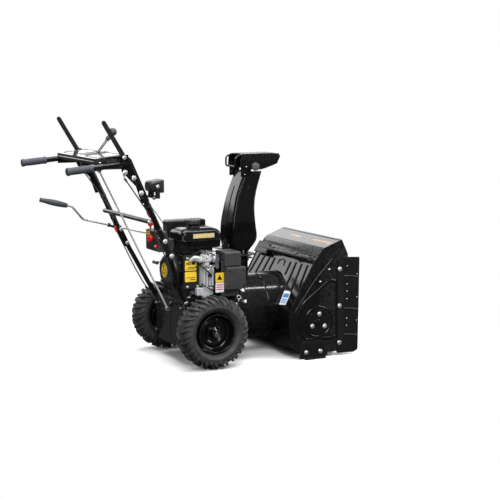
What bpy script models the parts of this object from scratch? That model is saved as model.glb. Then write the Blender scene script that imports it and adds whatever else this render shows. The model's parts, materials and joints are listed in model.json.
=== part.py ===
"""Two stage snowblower, 56 cm clearing width.

Metres, +Z up. The auger mouth faces -Y and the operator stands at +Y, so the
operator's right hand is at -X. The ground is z = 0 and the origin is under the
middle of the machine. Every sub-part is its own object.
"""

from math import atan2, cos, pi, radians, sin, sqrt

import bmesh
import bpy
from mathutils import Matrix, Vector

GAP = 0.0003

# Wheels and tractor
AXLE = Vector((0.0, 0.031, 0.165))
AXLE_RADIUS = 0.0095
AXLE_HALF_LENGTH = 0.300
TYRE_RADIUS = 0.165
WHEEL_X = 0.2625
RIM_RADIUS = 0.084
BOX_HALF_WIDTH = 0.165
BOX_FRONT_Y = -0.158
BOX_REAR_Y = 0.120
BOX_BOTTOM_Z = 0.080
DECK_Z = 0.285
SHEET = 0.003

# Auger housing
HOUSING_HALF_WIDTH = 0.280
MOUTH_FRONT_Y = -0.659
AUGER_AXIS_Y = -0.498
AUGER_AXIS_Z = 0.166
AUGER_RADIUS = 0.130
JOURNAL_RADIUS = 0.0095

# Impeller
IMPELLER_Z = 0.221
DRUM_RADIUS = 0.155
DRUM_REAR_Y = -0.162
IMPELLER_RADIUS = 0.146
SHAFT_RADIUS = 0.0095

# Friction drive
AXLE_GEAR_RADIUS = 0.058
HEX_SHAFT = Vector((0.0, -0.0275, IMPELLER_Z))
DISC_FACE_Y = -0.0705
FRICTION_WHEEL_RADIUS = abs(HEX_SHAFT.y - DISC_FACE_Y) - GAP
HEX_GEAR_RADIUS = (Vector((HEX_SHAFT.y, HEX_SHAFT.z)) - Vector((AXLE.y, AXLE.z))).length \
    - AXLE_GEAR_RADIUS - GAP

# Chute
CHUTE_Y = -0.218
NECK_RADIUS = 0.055
RING_Z = 0.466
RING_RADIUS = 0.0895
CHUTE_TOP_Z = 0.858

# Engine
CRANK_Z = 0.410
BELT_Y = -0.125
DRIVE_BELT_Y = -0.103
ENGINE_FRONT_Y = -0.060

# Handles
RAIL_X = 0.268
RAIL_RADIUS = 0.0125
LOWER_TUBE_RADIUS = 0.011
GRIP_RADIUS = 0.0175
DASH_HALF_WIDTH = 0.245
LEVER_PIVOT = Vector((0.2849, 0.452, 0.957))
SHIFT_PIVOT = Vector((0.0, 0.520, 0.892))

# Chute crank: the rod runs from its eye on the left handle to the chute ring
CRANK_EYE = Vector((0.2975, 0.300, 0.603))
CRANK_FRONT = Vector((0.0785, -0.335, 0.447))
CRANK_DIRECTION = (CRANK_EYE - CRANK_FRONT).normalized()
CRANK_ROD_RADIUS = 0.005

BLACK = ("gloss_black_paint", (0.012, 0.012, 0.013), 0.22, 0.0)
SATIN = ("satin_black", (0.03, 0.03, 0.032), 0.5, 0.0)
PLASTIC = ("grey_plastic", (0.07, 0.07, 0.075), 0.55, 0.0)
RUBBER = ("rubber", (0.02, 0.02, 0.022), 0.85, 0.0)
GRIP_RUBBER = ("grip_rubber", (0.055, 0.062, 0.078), 0.8, 0.0)
STEEL = ("zinc_steel", (0.62, 0.62, 0.63), 0.3, 1.0)
ALLOY = ("cast_alloy", (0.55, 0.55, 0.56), 0.45, 1.0)
RED = ("red_plastic", (0.75, 0.02, 0.02), 0.35, 0.0)


def crank_point(distance):
    """A point on the chute crank's turning axis, measured from its front end."""
    return CRANK_FRONT + CRANK_DIRECTION * distance


# ---------------------------------------------------------------- scene set-up

def new_collection(name):
    collection = bpy.data.collections.new(name)
    bpy.context.scene.collection.children.link(collection)
    return collection


def clear_scene():
    for obj in list(bpy.data.objects):
        bpy.data.objects.remove(obj, do_unlink=True)


clear_scene()
PARTS = new_collection("two_stage_snowblower")
CUTTERS = new_collection("cutters")


def material(spec):
    name, colour, roughness, metallic = spec
    found = bpy.data.materials.get(name)
    if found:
        return found
    made = bpy.data.materials.new(name)
    made.use_nodes = True
    shader = made.node_tree.nodes["Principled BSDF"]
    shader.inputs["Base Color"].default_value = (*colour, 1.0)
    shader.inputs["Roughness"].default_value = roughness
    shader.inputs["Metallic"].default_value = metallic
    made.diffuse_color = (*colour, 1.0)
    return made


def place(obj, collection):
    for owner in list(obj.users_collection):
        owner.objects.unlink(obj)
    collection.objects.link(obj)


def part(obj, name, spec):
    """Name an object as a sub-part and give it its material."""
    obj.name = name
    obj.data.name = name
    place(obj, PARTS)
    obj.data.materials.clear()
    obj.data.materials.append(material(spec))
    return obj


def cutter(obj, name="cutter"):
    obj.name = name
    place(obj, CUTTERS)
    obj.hide_render = True
    obj.display_type = "WIRE"
    return obj


# ------------------------------------------------------------- modelling tools

def mesh_object(name, mesh):
    obj = bpy.data.objects.new(name, mesh)
    bpy.context.scene.collection.objects.link(obj)
    return obj


def mesh_from(builder, name="shape"):
    """Make an object from a function that fills a bmesh."""
    mesh = bpy.data.meshes.new(name)
    bm = bmesh.new()
    builder(bm)
    bm.to_mesh(mesh)
    bm.free()
    return mesh_object(name, mesh)


def bevel(obj, width, segments=1, angle=40):
    modifier = obj.modifiers.new("bevel", "BEVEL")
    modifier.width = width
    modifier.segments = segments
    modifier.limit_method = "ANGLE"
    modifier.angle_limit = radians(angle)
    return obj


def smooth(obj, angle=40):
    obj.data.shade_smooth()
    obj.data.set_sharp_from_angle(angle=radians(angle))
    return obj


def box(low, high, edge=0.0, segments=1):
    """A box between two corners, its edges rounded by edge."""
    low, high = Vector(low), Vector(high)
    bpy.ops.mesh.primitive_cube_add(size=1.0, location=(low + high) / 2)
    obj = bpy.context.active_object
    obj.data.transform(Matrix.Diagonal((*(high - low), 1.0)))
    if edge:
        bevel(obj, edge, segments)
    return obj


def aim(obj, axis):
    """Turn an object made along +Z so that it points along axis."""
    obj.rotation_mode = "QUATERNION"
    obj.rotation_quaternion = Vector((0, 0, 1)).rotation_difference(Vector(axis).normalized())
    return obj


def rod(start, end, radius, sides=12):
    """A plain cylinder between two points."""
    start, end = Vector(start), Vector(end)
    bpy.ops.mesh.primitive_cylinder_add(vertices=sides, radius=radius,
                                        depth=(end - start).length, location=(start + end) / 2)
    obj = bpy.context.active_object
    aim(obj, end - start)
    return smooth(obj)


def bore(start, end, radius, sides=12):
    """A cutter for a round hole whose flats clear a shaft of the radius by GAP."""
    return rod(start, end, (radius + GAP) / cos(pi / sides), sides)


def ball(centre, radius, segments=12, rings=8):
    bpy.ops.mesh.primitive_uv_sphere_add(radius=radius, segments=segments, ring_count=rings,
                                         location=centre)
    return smooth(bpy.context.active_object)


def turned(profile, origin, axis, steps=24, closed=False):
    """A turned shape: (radius, height) points, turned about axis at origin.

    An open profile starts and ends on the axis. The points are put in the order
    that runs down the outer side.
    """
    area = 0.0
    loop = list(profile)
    for (r0, h0), (r1, h1) in zip(loop, loop[1:] + loop[:1]):
        area += r0 * h1 - r1 * h0
    if area > 0:
        loop.reverse()
    mesh = bpy.data.meshes.new("profile")
    points = [(r, 0.0, h) for r, h in loop]
    edges = [(i, i + 1) for i in range(len(points) - 1)]
    if closed:
        edges.append((len(points) - 1, 0))
    mesh.from_pydata(points, edges, [])
    obj = mesh_object("turned", mesh)
    screw = obj.modifiers.new("screw", "SCREW")
    screw.axis = "Z"
    screw.steps = steps
    screw.render_steps = steps
    screw.use_merge_vertices = True
    screw.merge_threshold = 0.00005
    screw.use_smooth_shade = True
    obj.location = origin
    aim(obj, axis)
    return obj


def smooth_route(points, per_span):
    """Points along a smooth curve through the given ones (Catmull-Rom)."""
    pts = [Vector(p) for p in points]
    pts = [2 * pts[0] - pts[1]] + pts + [2 * pts[-1] - pts[-2]]
    route = []
    for i in range(1, len(pts) - 2):
        p0, p1, p2, p3 = pts[i - 1:i + 3]
        for k in range(per_span):
            t = k / per_span
            route.append(0.5 * (2 * p1 + (p2 - p0) * t + (2 * p0 - 5 * p1 + 4 * p2 - p3) * t * t
                                + (3 * p1 - p0 - 3 * p2 + p3) * t ** 3))
    route.append(pts[-2])
    return route


def corner_route(points, radius, arc_steps=4):
    """A route with each inner corner rounded to an arc."""
    pts = [Vector(p) for p in points]
    route = [pts[0]]
    for before, corner, after in zip(pts, pts[1:], pts[2:]):
        a = (before - corner).normalized()
        b = (after - corner).normalized()
        half = a.angle(b) / 2
        reach = radius / (sin(half) / cos(half))
        start, end = corner + a * reach, corner + b * reach
        for k in range(arc_steps + 1):
            t = k / arc_steps
            route.append((1 - t) ** 2 * start + 2 * t * (1 - t) * corner + t * t * end)
    route.append(pts[-1])
    return route


def tube(points, radius, resolution=3):
    """A round tube along the points, with filled ends."""
    curve = bpy.data.curves.new("tube", "CURVE")
    curve.dimensions = "3D"
    curve.bevel_depth = radius
    curve.bevel_resolution = resolution
    curve.use_fill_caps = True
    curve.resolution_u = 1
    spline = curve.splines.new("POLY")
    spline.points.add(len(points) - 1)
    for point, place_at in zip(spline.points, points):
        point.co = (*place_at, 1.0)
    obj = bpy.data.objects.new("tube", curve)
    bpy.context.scene.collection.objects.link(obj)
    return obj


def flat(outline, thickness, holes=()):
    """A flat plate in the XY plane, centred on it, with round or shaped holes."""
    curve = bpy.data.curves.new("flat", "CURVE")
    curve.dimensions = "2D"
    curve.fill_mode = "BOTH"
    curve.extrude = thickness / 2
    for ring in (outline, *holes):
        spline = curve.splines.new("POLY")
        spline.points.add(len(ring) - 1)
        for point, at in zip(spline.points, ring):
            point.co = (at[0], at[1], 0.0, 1.0)
        spline.use_cyclic_u = True
    obj = bpy.data.objects.new("flat", curve)
    bpy.context.scene.collection.objects.link(obj)
    return obj


def stand_on_x(obj, x):
    """Turn a flat plate drawn as (y, z) to stand in the YZ plane at x."""
    obj.matrix_world = Matrix(((0, 0, 1, x), (1, 0, 0, 0), (0, 1, 0, 0), (0, 0, 0, 1)))
    return obj


def stand_on_y(obj, y):
    """Turn a flat plate drawn as (x, z) to stand in the XZ plane at y."""
    obj.matrix_world = Matrix(((1, 0, 0, 0), (0, 0, 1, y), (0, 1, 0, 0), (0, 0, 0, 1)))
    return obj


def circle(cx, cy, radius, sides=12):
    return [(cx + radius * cos(2 * pi * k / sides), cy + radius * sin(2 * pi * k / sides))
            for k in range(sides)]


def slot_outline(cx, cy, half_straight, radius, steps=5):
    """A slot with round ends, long in the second axis."""
    points = []
    for side in (1, -1):
        for k in range(steps + 1):
            a = pi * k / steps + (0 if side == 1 else pi)
            u, v = radius * cos(a), radius * sin(a) + side * half_straight
            points.append((cx + u, cy + v))
    return points


def rounded(outline, radius, steps=3):
    """An outline with its corners rounded; radius is a number or one for each corner."""
    radii = radius if isinstance(radius, (list, tuple)) else [radius] * len(outline)
    pts = [Vector((p[0], p[1])) for p in outline]
    result = []
    for i, corner in enumerate(pts):
        before, after = pts[i - 1], pts[(i + 1) % len(pts)]
        if radii[i] <= 0:
            result.append(tuple(corner))
            continue
        a, b = (before - corner).normalized(), (after - corner).normalized()
        half = a.angle(b) / 2
        reach = radii[i] / (sin(half) / cos(half))
        for k in range(steps + 1):
            t = k / steps
            p = (1 - t) ** 2 * (corner + a * reach) + 2 * t * (1 - t) * corner \
                + t * t * (corner + b * reach)
            result.append(tuple(p))
    return result


def as_mesh(obj):
    """Turn a curve object, or one with modifiers, into a plain welded mesh object."""
    bpy.context.view_layer.update()
    mesh = bpy.data.meshes.new_from_object(obj.evaluated_get(bpy.context.evaluated_depsgraph_get()))
    bm = bmesh.new()
    bm.from_mesh(mesh)
    bmesh.ops.remove_doubles(bm, verts=bm.verts, dist=0.00001)
    bmesh.ops.recalc_face_normals(bm, faces=bm.faces)
    bm.to_mesh(mesh)
    bm.free()
    made = mesh_object(obj.name, mesh)
    made.matrix_world = obj.matrix_world
    bpy.data.objects.remove(obj, do_unlink=True)
    return smooth(made)


def boolean(obj, other, operation):
    modifier = obj.modifiers.new(operation.lower(), "BOOLEAN")
    modifier.operation = operation
    modifier.solver = "EXACT"
    modifier.object = cutter(other, "cutter")
    return obj


def join(obj, *others):
    for other in others:
        boolean(obj, other, "UNION")
    return obj


def cut(obj, *others):
    for other in others:
        boolean(obj, other, "DIFFERENCE")
    return obj



# -------------------------------------------------------------- wheels, tractor

def wheels():
    tyre_profile = [(0.0875, 0.040), (0.100, 0.050), (0.130, 0.0545), (0.155, 0.050),
                    (TYRE_RADIUS, 0.036), (TYRE_RADIUS, -0.036), (0.155, -0.050),
                    (0.130, -0.0545), (0.100, -0.050), (0.0875, -0.040)]
    hub = AXLE_RADIUS + GAP
    rim_profile = [(hub, 0.047), (0.019, 0.047), (0.021, 0.012), (0.055, 0.010),
                   (0.066, 0.020), (0.074, 0.044), (RIM_RADIUS, 0.048), (RIM_RADIUS, -0.048),
                   (0.078, -0.048), (0.070, 0.004), (0.060, 0.004), (0.021, 0.004),
                   (0.019, -0.046), (hub, -0.046)]
    for side, sign in (("right", -1), ("left", 1)):
        centre = (sign * WHEEL_X, AXLE.y, AXLE.z)
        part(turned(tyre_profile, centre, (sign, 0, 0), 26, closed=True), f"tyre_{side}", RUBBER)
        part(turned(rim_profile, centre, (sign, 0, 0), 20, closed=True), f"rim_{side}", BLACK)
    gear_x = 0.120
    axle_profile = [(0.0, AXLE_HALF_LENGTH * 2), (AXLE_RADIUS, AXLE_HALF_LENGTH * 2),
                    (AXLE_RADIUS, AXLE_HALF_LENGTH + gear_x + 0.010),
                    (AXLE_GEAR_RADIUS, AXLE_HALF_LENGTH + gear_x + 0.010),
                    (AXLE_GEAR_RADIUS, AXLE_HALF_LENGTH + gear_x),
                    (AXLE_RADIUS, AXLE_HALF_LENGTH + gear_x), (AXLE_RADIUS, 0.0), (0.0, 0.0)]
    part(turned(axle_profile, (-AXLE_HALF_LENGTH, AXLE.y, AXLE.z), (1, 0, 0), 18), "axle", STEEL)


def tractor():
    """The folded sheet box that carries the axle, the drive and the engine deck."""
    shell = box((-BOX_HALF_WIDTH, BOX_FRONT_Y, BOX_BOTTOM_Z),
                (BOX_HALF_WIDTH, BOX_REAR_Y, DECK_Z))
    wall = SHEET
    hollow = box((-BOX_HALF_WIDTH + wall, BOX_FRONT_Y + wall, BOX_BOTTOM_Z - 0.02),
                 (BOX_HALF_WIDTH - wall, BOX_REAR_Y - wall, DECK_Z - wall))
    cut(shell, hollow)
    cross_wall = box((-BOX_HALF_WIDTH + 0.001, -0.0880, 0.130),
                     (BOX_HALF_WIDTH - 0.001, -0.0850, DECK_Z - 0.001))
    join(shell, cross_wall)
    for x in (-BOX_HALF_WIDTH, BOX_HALF_WIDTH):
        cut(shell, bore((x - 0.01, AXLE.y, AXLE.z), (x + 0.01, AXLE.y, AXLE.z), AXLE_RADIUS))
    cut(shell, bore((0, -0.30, IMPELLER_Z), (0, -0.13, IMPELLER_Z), SHAFT_RADIUS),
        bore((0, -0.1, IMPELLER_Z), (0, -0.080, IMPELLER_Z), 0.012),
        box((-0.085, BOX_FRONT_Y + 0.008, DECK_Z - 0.02), (0.085, -0.0885, DECK_Z + 0.02)))
    part(shell, "tractor_frame", BLACK)
    part(box((-BOX_HALF_WIDTH, BOX_FRONT_Y, BOX_BOTTOM_Z - GAP - SHEET),
             (BOX_HALF_WIDTH, BOX_REAR_Y, BOX_BOTTOM_Z - GAP)), "bottom_cover", BLACK)


def friction_drive():
    """Disc on the drive belt, and the rubber wheel that slides across it."""
    top = -0.112
    disc = [(0.0, DISC_FACE_Y - top), (0.058, DISC_FACE_Y - top),
            (0.058, DISC_FACE_Y - 0.007 - top), (0.012, DISC_FACE_Y - 0.0095 - top),
            (0.012, -0.0888 - top), (0.048, -0.0888 - top), (0.042, -0.094 - top),
            (0.048, -0.0995 - top), (0.012, -0.0995 - top), (0.0, -0.0995 - top)]
    part(turned(disc, (0, top, IMPELLER_Z), (0, 1, 0), 20), "friction_disc", ALLOY)
    hexagon = 0.008
    wheel = [(hexagon + 0.0006, 0.012), (0.016, 0.012), (0.018, 0.005),
             (FRICTION_WHEEL_RADIUS, 0.005), (FRICTION_WHEEL_RADIUS, -0.005), (0.018, -0.005),
             (0.016, -0.012), (hexagon + 0.0006, -0.012)]
    part(turned(wheel, (-0.020, HEX_SHAFT.y, HEX_SHAFT.z), (1, 0, 0), 18, closed=True),
         "friction_wheel", RUBBER)
    inner = BOX_HALF_WIDTH - SHEET - GAP
    shaft = rod((-inner, HEX_SHAFT.y, HEX_SHAFT.z), (inner, HEX_SHAFT.y, HEX_SHAFT.z), hexagon, 6)
    join(shaft, rod((0.120, HEX_SHAFT.y, HEX_SHAFT.z), (0.130, HEX_SHAFT.y, HEX_SHAFT.z),
                    HEX_GEAR_RADIUS, 24))
    part(shaft, "hex_shaft", STEEL)


def belt_drive():
    """Engine pulley, impeller pulley and the belt between them."""
    groove = 0.005
    engine_r, impeller_r = 0.034, 0.056
    start = -0.136
    pulley = [(0.0, 0.0), (engine_r, 0.0), (engine_r, 0.006)]
    for centre in (BELT_Y, DRIVE_BELT_Y):
        pulley += [(engine_r, centre - start - 0.0065), (engine_r - groove, centre - start - 0.0055),
                   (engine_r - groove, centre - start + 0.0055),
                   (engine_r, centre - start + 0.0065)]
    pulley = pulley[:2] + pulley[3:]
    end = ENGINE_FRONT_Y - GAP - start
    pulley += [(engine_r, end - 0.018), (0.0125, end - 0.018), (0.0125, end), (0.0, end)]
    part(turned(pulley, (0, start, CRANK_Z), (0, 1, 0), 18), "engine_pulley", ALLOY)
    hub = SHAFT_RADIUS + GAP
    low = BELT_Y - 0.010
    driven = [(hub, 0.0), (impeller_r, 0.0), (impeller_r, 0.0035), (impeller_r - groove, 0.0045),
              (impeller_r - groove, 0.0155), (impeller_r, 0.0165), (impeller_r, 0.020),
              (hub, 0.020)]
    part(turned(driven, (0, low, IMPELLER_Z), (0, 1, 0), 20, closed=True), "impeller_pulley",
         ALLOY)
    slack = 0.0018
    belt_in_top, belt_in_low = engine_r - groove + slack, impeller_r - groove + slack
    thick = 0.006

    def loop(extra):
        r_top, r_low = belt_in_top + extra, belt_in_low + extra
        lean = -(r_low - r_top) / (CRANK_Z - IMPELLER_Z)
        tilt = sin_inverse(lean)
        points = []
        for k in range(9):
            a = -tilt + (pi + 2 * tilt) * k / 8
            points.append((r_top * cos(a), CRANK_Z + r_top * sin(a)))
        for k in range(9):
            a = pi + tilt + (pi - 2 * tilt) * k / 8
            points.append((r_low * cos(a), IMPELLER_Z + r_low * sin(a)))
        return points

    def sin_inverse(value):
        return atan2(value, sqrt(1 - value * value))

    part(stand_on_y(flat(loop(thick), 0.0095, [loop(0.0005)]), BELT_Y), "auger_belt", RUBBER)
    cover = box((-0.150, BOX_FRONT_Y + 0.002, DECK_Z + 0.012), (0.105, -0.0655, 0.462), 0.004)
    cut(cover, box((-0.147, BOX_FRONT_Y + 0.005, DECK_Z), (0.102, -0.03, 0.459)))
    join(cover, box((-0.192, -0.175, 0.335), (-0.149, -0.078, 0.438), 0.005))
    part(cover, "belt_cover", PLASTIC)


# ----------------------------------------------------- auger housing and impeller

HOUSING_PATH = [(-0.628, 0.5445), (-0.527, 0.508), (-0.483, 0.451), (-0.368, 0.245),
                (-0.352, 0.205), (-0.350, 0.165), (-0.356, 0.115), (-0.372, 0.065),
                (-0.395, 0.034), (-0.425, 0.0215), (-0.560, 0.0215)]
SIDE_OUTLINE = [(MOUTH_FRONT_Y, 0.022), (MOUTH_FRONT_Y, 0.477), (-0.626, 0.546)] \
    + [(-0.527, 0.5095), (-0.481, 0.4515), (-0.3645, 0.245), (-0.349, 0.206), (-0.3475, 0.165),
       (-0.3535, 0.115), (-0.3695, 0.064), (-0.3935, 0.032), (-0.425, 0.0205)]
TOOL_CENTRE = Vector((0.0, -0.4655, 0.4635))
TOOL_LIFT = Vector((0.0, 0.83, 0.558))


def housing():
    def sheet(bm):
        rows = []
        for x in (-HOUSING_HALF_WIDTH + 0.0015, HOUSING_HALF_WIDTH - 0.0015):
            rows.append([bm.verts.new((x, y, z)) for y, z in HOUSING_PATH])
        for k in range(len(HOUSING_PATH) - 1):
            bm.faces.new((rows[0][k], rows[1][k], rows[1][k + 1], rows[0][k + 1]))

    shell = mesh_from(sheet)
    thicken = shell.modifiers.new("thicken", "SOLIDIFY")
    thicken.thickness = SHEET
    thicken.offset = 0.0
    shell = as_mesh(shell)
    for sign in (-1, 1):
        side = as_mesh(stand_on_x(flat(SIDE_OUTLINE, SHEET,
                                       [circle(AUGER_AXIS_Y, AUGER_AXIS_Z, JOURNAL_RADIUS + 2 * GAP)]),
                                  sign * (HOUSING_HALF_WIDTH - SHEET / 2)))
        join(shell, side)
    cut(shell, rod((0, -0.46, IMPELLER_Z), (0, -0.1, IMPELLER_Z), DRUM_RADIUS + 0.0012, 30))
    for x in (-0.115, 0.095):
        clip = box((x - 0.007, -0.012, -0.0225), (x + 0.007, 0.012, -0.0105))
        clip.location = (x, TOOL_CENTRE.y - 0.0165 * TOOL_LIFT.y, TOOL_CENTRE.z - 0.0165 * TOOL_LIFT.z)
        clip.rotation_euler = (-atan2(TOOL_LIFT.y, TOOL_LIFT.z), 0, 0)
        join(shell, clip)
    part(shell, "auger_housing", BLACK)
    part(box((-0.275, -0.585, 0.0145), (0.275, -0.530, 0.0195)), "scraper_bar", SATIN)


def drum():
    inner = DRUM_RADIUS - SHEET
    front = -0.445
    profile = [(SHAFT_RADIUS + 0.0006, DRUM_REAR_Y), (DRUM_RADIUS, DRUM_REAR_Y),
               (DRUM_RADIUS, front), (inner, front), (inner, DRUM_REAR_Y - SHEET),
               (SHAFT_RADIUS + 0.0006, DRUM_REAR_Y - SHEET)]
    profile = [(r, h - front) for r, h in profile]
    case = turned(profile, (0, front, IMPELLER_Z), (0, 1, 0), 30, closed=True)
    neck = rod((0, CHUTE_Y, IMPELLER_Z + inner - 0.012), (0, CHUTE_Y, RING_Z + 0.002),
               NECK_RADIUS, 22)
    join(case, neck)
    collar = rod((0, CHUTE_Y, RING_Z - 0.006), (0, CHUTE_Y, RING_Z + 0.003), 0.0610, 22)
    join(case, collar)
    holder = crank_point(0.036)
    join(case, box((0.010, holder.y - 0.006, 0.442), (holder.x + 0.013, -0.262, 0.449)),
         box((holder.x - 0.013, holder.y - 0.006, 0.443), (holder.x + 0.013, holder.y + 0.004, 0.472)),
         rod((0, CHUTE_Y, 0.4405), (0, CHUTE_Y, 0.4495), 0.0605, 20))
    cut(case, rod((0, CHUTE_Y, IMPELLER_Z + 0.06), (0, CHUTE_Y, RING_Z + 0.05),
                  NECK_RADIUS - SHEET, 22),
        bore(crank_point(-0.03), crank_point(0.10), CRANK_ROD_RADIUS), slanted_front(),
        rod((0, -0.30, IMPELLER_Z), (0, DRUM_REAR_Y - SHEET - GAP, IMPELLER_Z),
            (IMPELLER_RADIUS + inner) / 2, 30))
    part(case, "impeller_drum", BLACK)


def slanted_front():
    """The space in front of the housing's back sheet, which the drum is trimmed to."""
    outline = [(-0.70, 0.60), (-0.5335, 0.5335), (-0.368, 0.2445), (-0.3525, 0.205),
               (-0.3505, 0.165), (-0.3565, 0.115), (-0.3725, 0.065), (-0.395, 0.0), (-0.70, 0.0)]
    return as_mesh(stand_on_x(flat(outline, 0.6), 0))


def impeller():
    y_back, y_front = -0.180, -0.336
    shaft_front, shaft_rear = -0.448, -0.1145
    profile = [(0.0, shaft_rear), (SHAFT_RADIUS, shaft_rear), (SHAFT_RADIUS, y_back),
               (0.022, y_back), (0.022, y_front), (SHAFT_RADIUS, y_front),
               (SHAFT_RADIUS, shaft_front), (0.0, shaft_front)]
    body = turned([(r, h - shaft_front) for r, h in profile], (0, shaft_front, IMPELLER_Z),
                  (0, 1, 0), 20)
    body = as_mesh(body)
    for k in range(4):
        a = k * pi / 2 + pi / 8
        blade = box((0.012, y_front, -0.002), (IMPELLER_RADIUS, y_back - 0.004, 0.002))
        turn = Matrix.Rotation(a, 4, "Y")
        blade.matrix_world = Matrix.Translation((0, 0, IMPELLER_Z)) @ turn \
            @ Matrix.Translation(blade.location)
        join(body, blade)
    part(body, "impeller", BLACK)


def gearbox():
    case = rod((-0.030, AUGER_AXIS_Y, AUGER_AXIS_Z), (0.030, AUGER_AXIS_Y, AUGER_AXIS_Z), 0.044,
               24)
    join(case, rod((0, -0.560, IMPELLER_Z), (0, -0.437, IMPELLER_Z), 0.024, 20))
    for sign in (-1, 1):
        cut(case, bore((sign * 0.008, AUGER_AXIS_Y, AUGER_AXIS_Z),
                       (sign * 0.05, AUGER_AXIS_Y, AUGER_AXIS_Z), JOURNAL_RADIUS))
    cut(case, bore((0, -0.4485, IMPELLER_Z), (0, -0.43, IMPELLER_Z), SHAFT_RADIUS))
    part(case, "auger_gearbox", ALLOY)


def auger(side, sign):
    """A ribbon screw on a tube, with its journals in the gearbox and the side plate."""
    inner_x, outer_x = 0.0340, 0.2755
    journal_in, journal_out = 0.0085, 0.2790
    tube_r = 0.017
    profile = [(0.0, journal_in), (JOURNAL_RADIUS, journal_in), (JOURNAL_RADIUS, inner_x),
               (tube_r, inner_x), (tube_r, outer_x), (JOURNAL_RADIUS, outer_x),
               (JOURNAL_RADIUS, journal_out), (0.0, journal_out)]
    body = as_mesh(turned([(r, h - journal_in) for r, h in profile],
                          (sign * journal_in, AUGER_AXIS_Y, AUGER_AXIS_Z), (sign, 0, 0), 12))
    flight_start, flight_end = 0.060, 0.262
    turns = 1.25
    steps = 24
    ribbon_in, ribbon_thick = 0.088, 0.0045

    def ribbon(bm):
        rings = []
        for k in range(steps + 1):
            t = k / steps
            a = 2 * pi * turns * t
            x = flight_start + (flight_end - flight_start) * t
            ring = []
            for r, dx in ((ribbon_in, -1), (AUGER_RADIUS, -1), (AUGER_RADIUS, 1), (ribbon_in, 1)):
                ring.append(bm.verts.new((sign * (x + dx * ribbon_thick / 2),
                                          AUGER_AXIS_Y + r * sin(a), AUGER_AXIS_Z + r * cos(a))))
            rings.append(ring)
        for a, b in zip(rings, rings[1:]):
            for k in range(4):
                bm.faces.new((a[k], a[(k + 1) % 4], b[(k + 1) % 4], b[k]))
        bm.faces.new(rings[0])
        bm.faces.new(reversed(rings[-1]))
        bmesh.ops.recalc_face_normals(bm, faces=bm.faces)

    join(body, mesh_from(ribbon))
    for t in (0.03, 0.35, 0.67, 0.97):
        a = 2 * pi * turns * t
        x = flight_start + (flight_end - flight_start) * t
        spoke = box((-0.003, -0.010, 0.008), (0.003, 0.010, ribbon_in + 0.012))
        centre = Matrix.Translation((0, 0, (0.008 + ribbon_in + 0.012) / 2))
        spoke.matrix_world = Matrix.Translation((sign * x, AUGER_AXIS_Y, AUGER_AXIS_Z)) \
            @ Matrix.Rotation(-a, 4, "X") @ centre
        join(body, spoke)
    part(body, f"auger_{side}", SATIN)


def shoes_and_cutters():
    shoe = rounded([(-0.404, 0.005), (-0.424, 0.001), (-0.533, 0.001), (-0.552, 0.016),
                    (-0.549, 0.058), (-0.528, 0.082), (-0.420, 0.086), (-0.402, 0.050)],
                   [0, 0, 0, 0.006, 0.012, 0.010, 0.010, 0.008])
    slots = [slot_outline(y, 0.048, 0.017, 0.0045) for y in (-0.437, -0.513)]
    cutter_outline = rounded([(-0.602, 0.012), (-0.602, 0.460), (-0.650, 0.463), (-0.721, 0.459),
                              (-0.716, 0.020), (-0.690, 0.010)], [0.004, 0.006, 0, 0.008, 0.012, 0])
    for side, sign in (("right", -1), ("left", 1)):
        x = HOUSING_HALF_WIDTH + GAP
        plate = as_mesh(stand_on_x(flat(shoe, 0.004), sign * (x + 0.002)))
        xs = sorted((sign * (x + 0.001), sign * (x + 0.026)))
        join(plate, box((xs[0], -0.531, 0.0), (xs[1], -0.426, 0.0045)))
        for slot in slots:
            cut(plate, as_mesh(stand_on_x(flat(slot, 0.02), sign * (x + 0.002))))
        part(plate, f"skid_{side}", SATIN)
        blade = stand_on_x(flat(cutter_outline, SHEET, [circle(-0.709, z, 0.0025, 10)
                                                        for z in (0.16, 0.27, 0.38)]),
                           sign * (x + SHEET / 2))
        part(as_mesh(blade), f"drift_cutter_{side}", SATIN)


# ------------------------------------------------------------------------ chute

CHUTE_LEVELS = [(0.4745, 0.050, -0.2384, -0.1675, 0.031), (0.505, 0.060, -0.262, -0.166, 0.022),
                (0.550, 0.071, -0.286, -0.165, 0.018), (0.620, 0.0715, -0.279, -0.169, 0.016),
                (0.690, 0.067, -0.276, -0.182, 0.015), (0.760, 0.061, -0.287, -0.200, 0.014),
                (CHUTE_TOP_Z, 0.0575, -0.318, -0.238, 0.012)]
EAR_X = 0.0595
EAR_THICKNESS = 0.006
CHEEK_X = EAR_X + EAR_THICKNESS / 2 + SHEET / 2 + 0.001


def chute():
    """A bent channel, open to the front, on a round foot with a ring flange."""
    def channel(bm):
        rows = []
        for z, w, front, rear, corner in CHUTE_LEVELS:
            outline = [(-w, front), (-w, rear - corner), (-w + corner, rear),
                       (w - corner, rear), (w, rear - corner), (w, front)]
            rows.append([bm.verts.new((x, y, z)) for x, y in outline])
        for low, high in zip(rows, rows[1:]):
            for k in range(len(low) - 1):
                bm.faces.new((low[k], low[k + 1], high[k + 1], high[k]))

    body = mesh_from(channel)
    thicken = body.modifiers.new("thicken", "SOLIDIFY")
    thicken.thickness = SHEET
    thicken.offset = 0.0
    body = as_mesh(body)
    foot_z = RING_Z + 0.003 + GAP
    foot = rod((0, CHUTE_Y, foot_z), (0, CHUTE_Y, foot_z + 0.004), RING_RADIUS, 28)
    join(body, foot, rod((0, CHUTE_Y, foot_z + 0.001), (0, CHUTE_Y, 0.481), 0.0555, 20))
    for sign in (-1, 1):
        ear = flat(rounded([(-0.266, 0.835), (-0.214, 0.835), (-0.214, 0.902), (-0.262, 0.902)],
                           [0, 0, 0.010, 0.010]), EAR_THICKNESS)
        join(body, as_mesh(stand_on_x(ear, sign * EAR_X)))
    cut(body, rod((0, CHUTE_Y, 0.43), (0, CHUTE_Y, 0.486), 0.0522, 20))
    part(body, "chute", BLACK)


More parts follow.
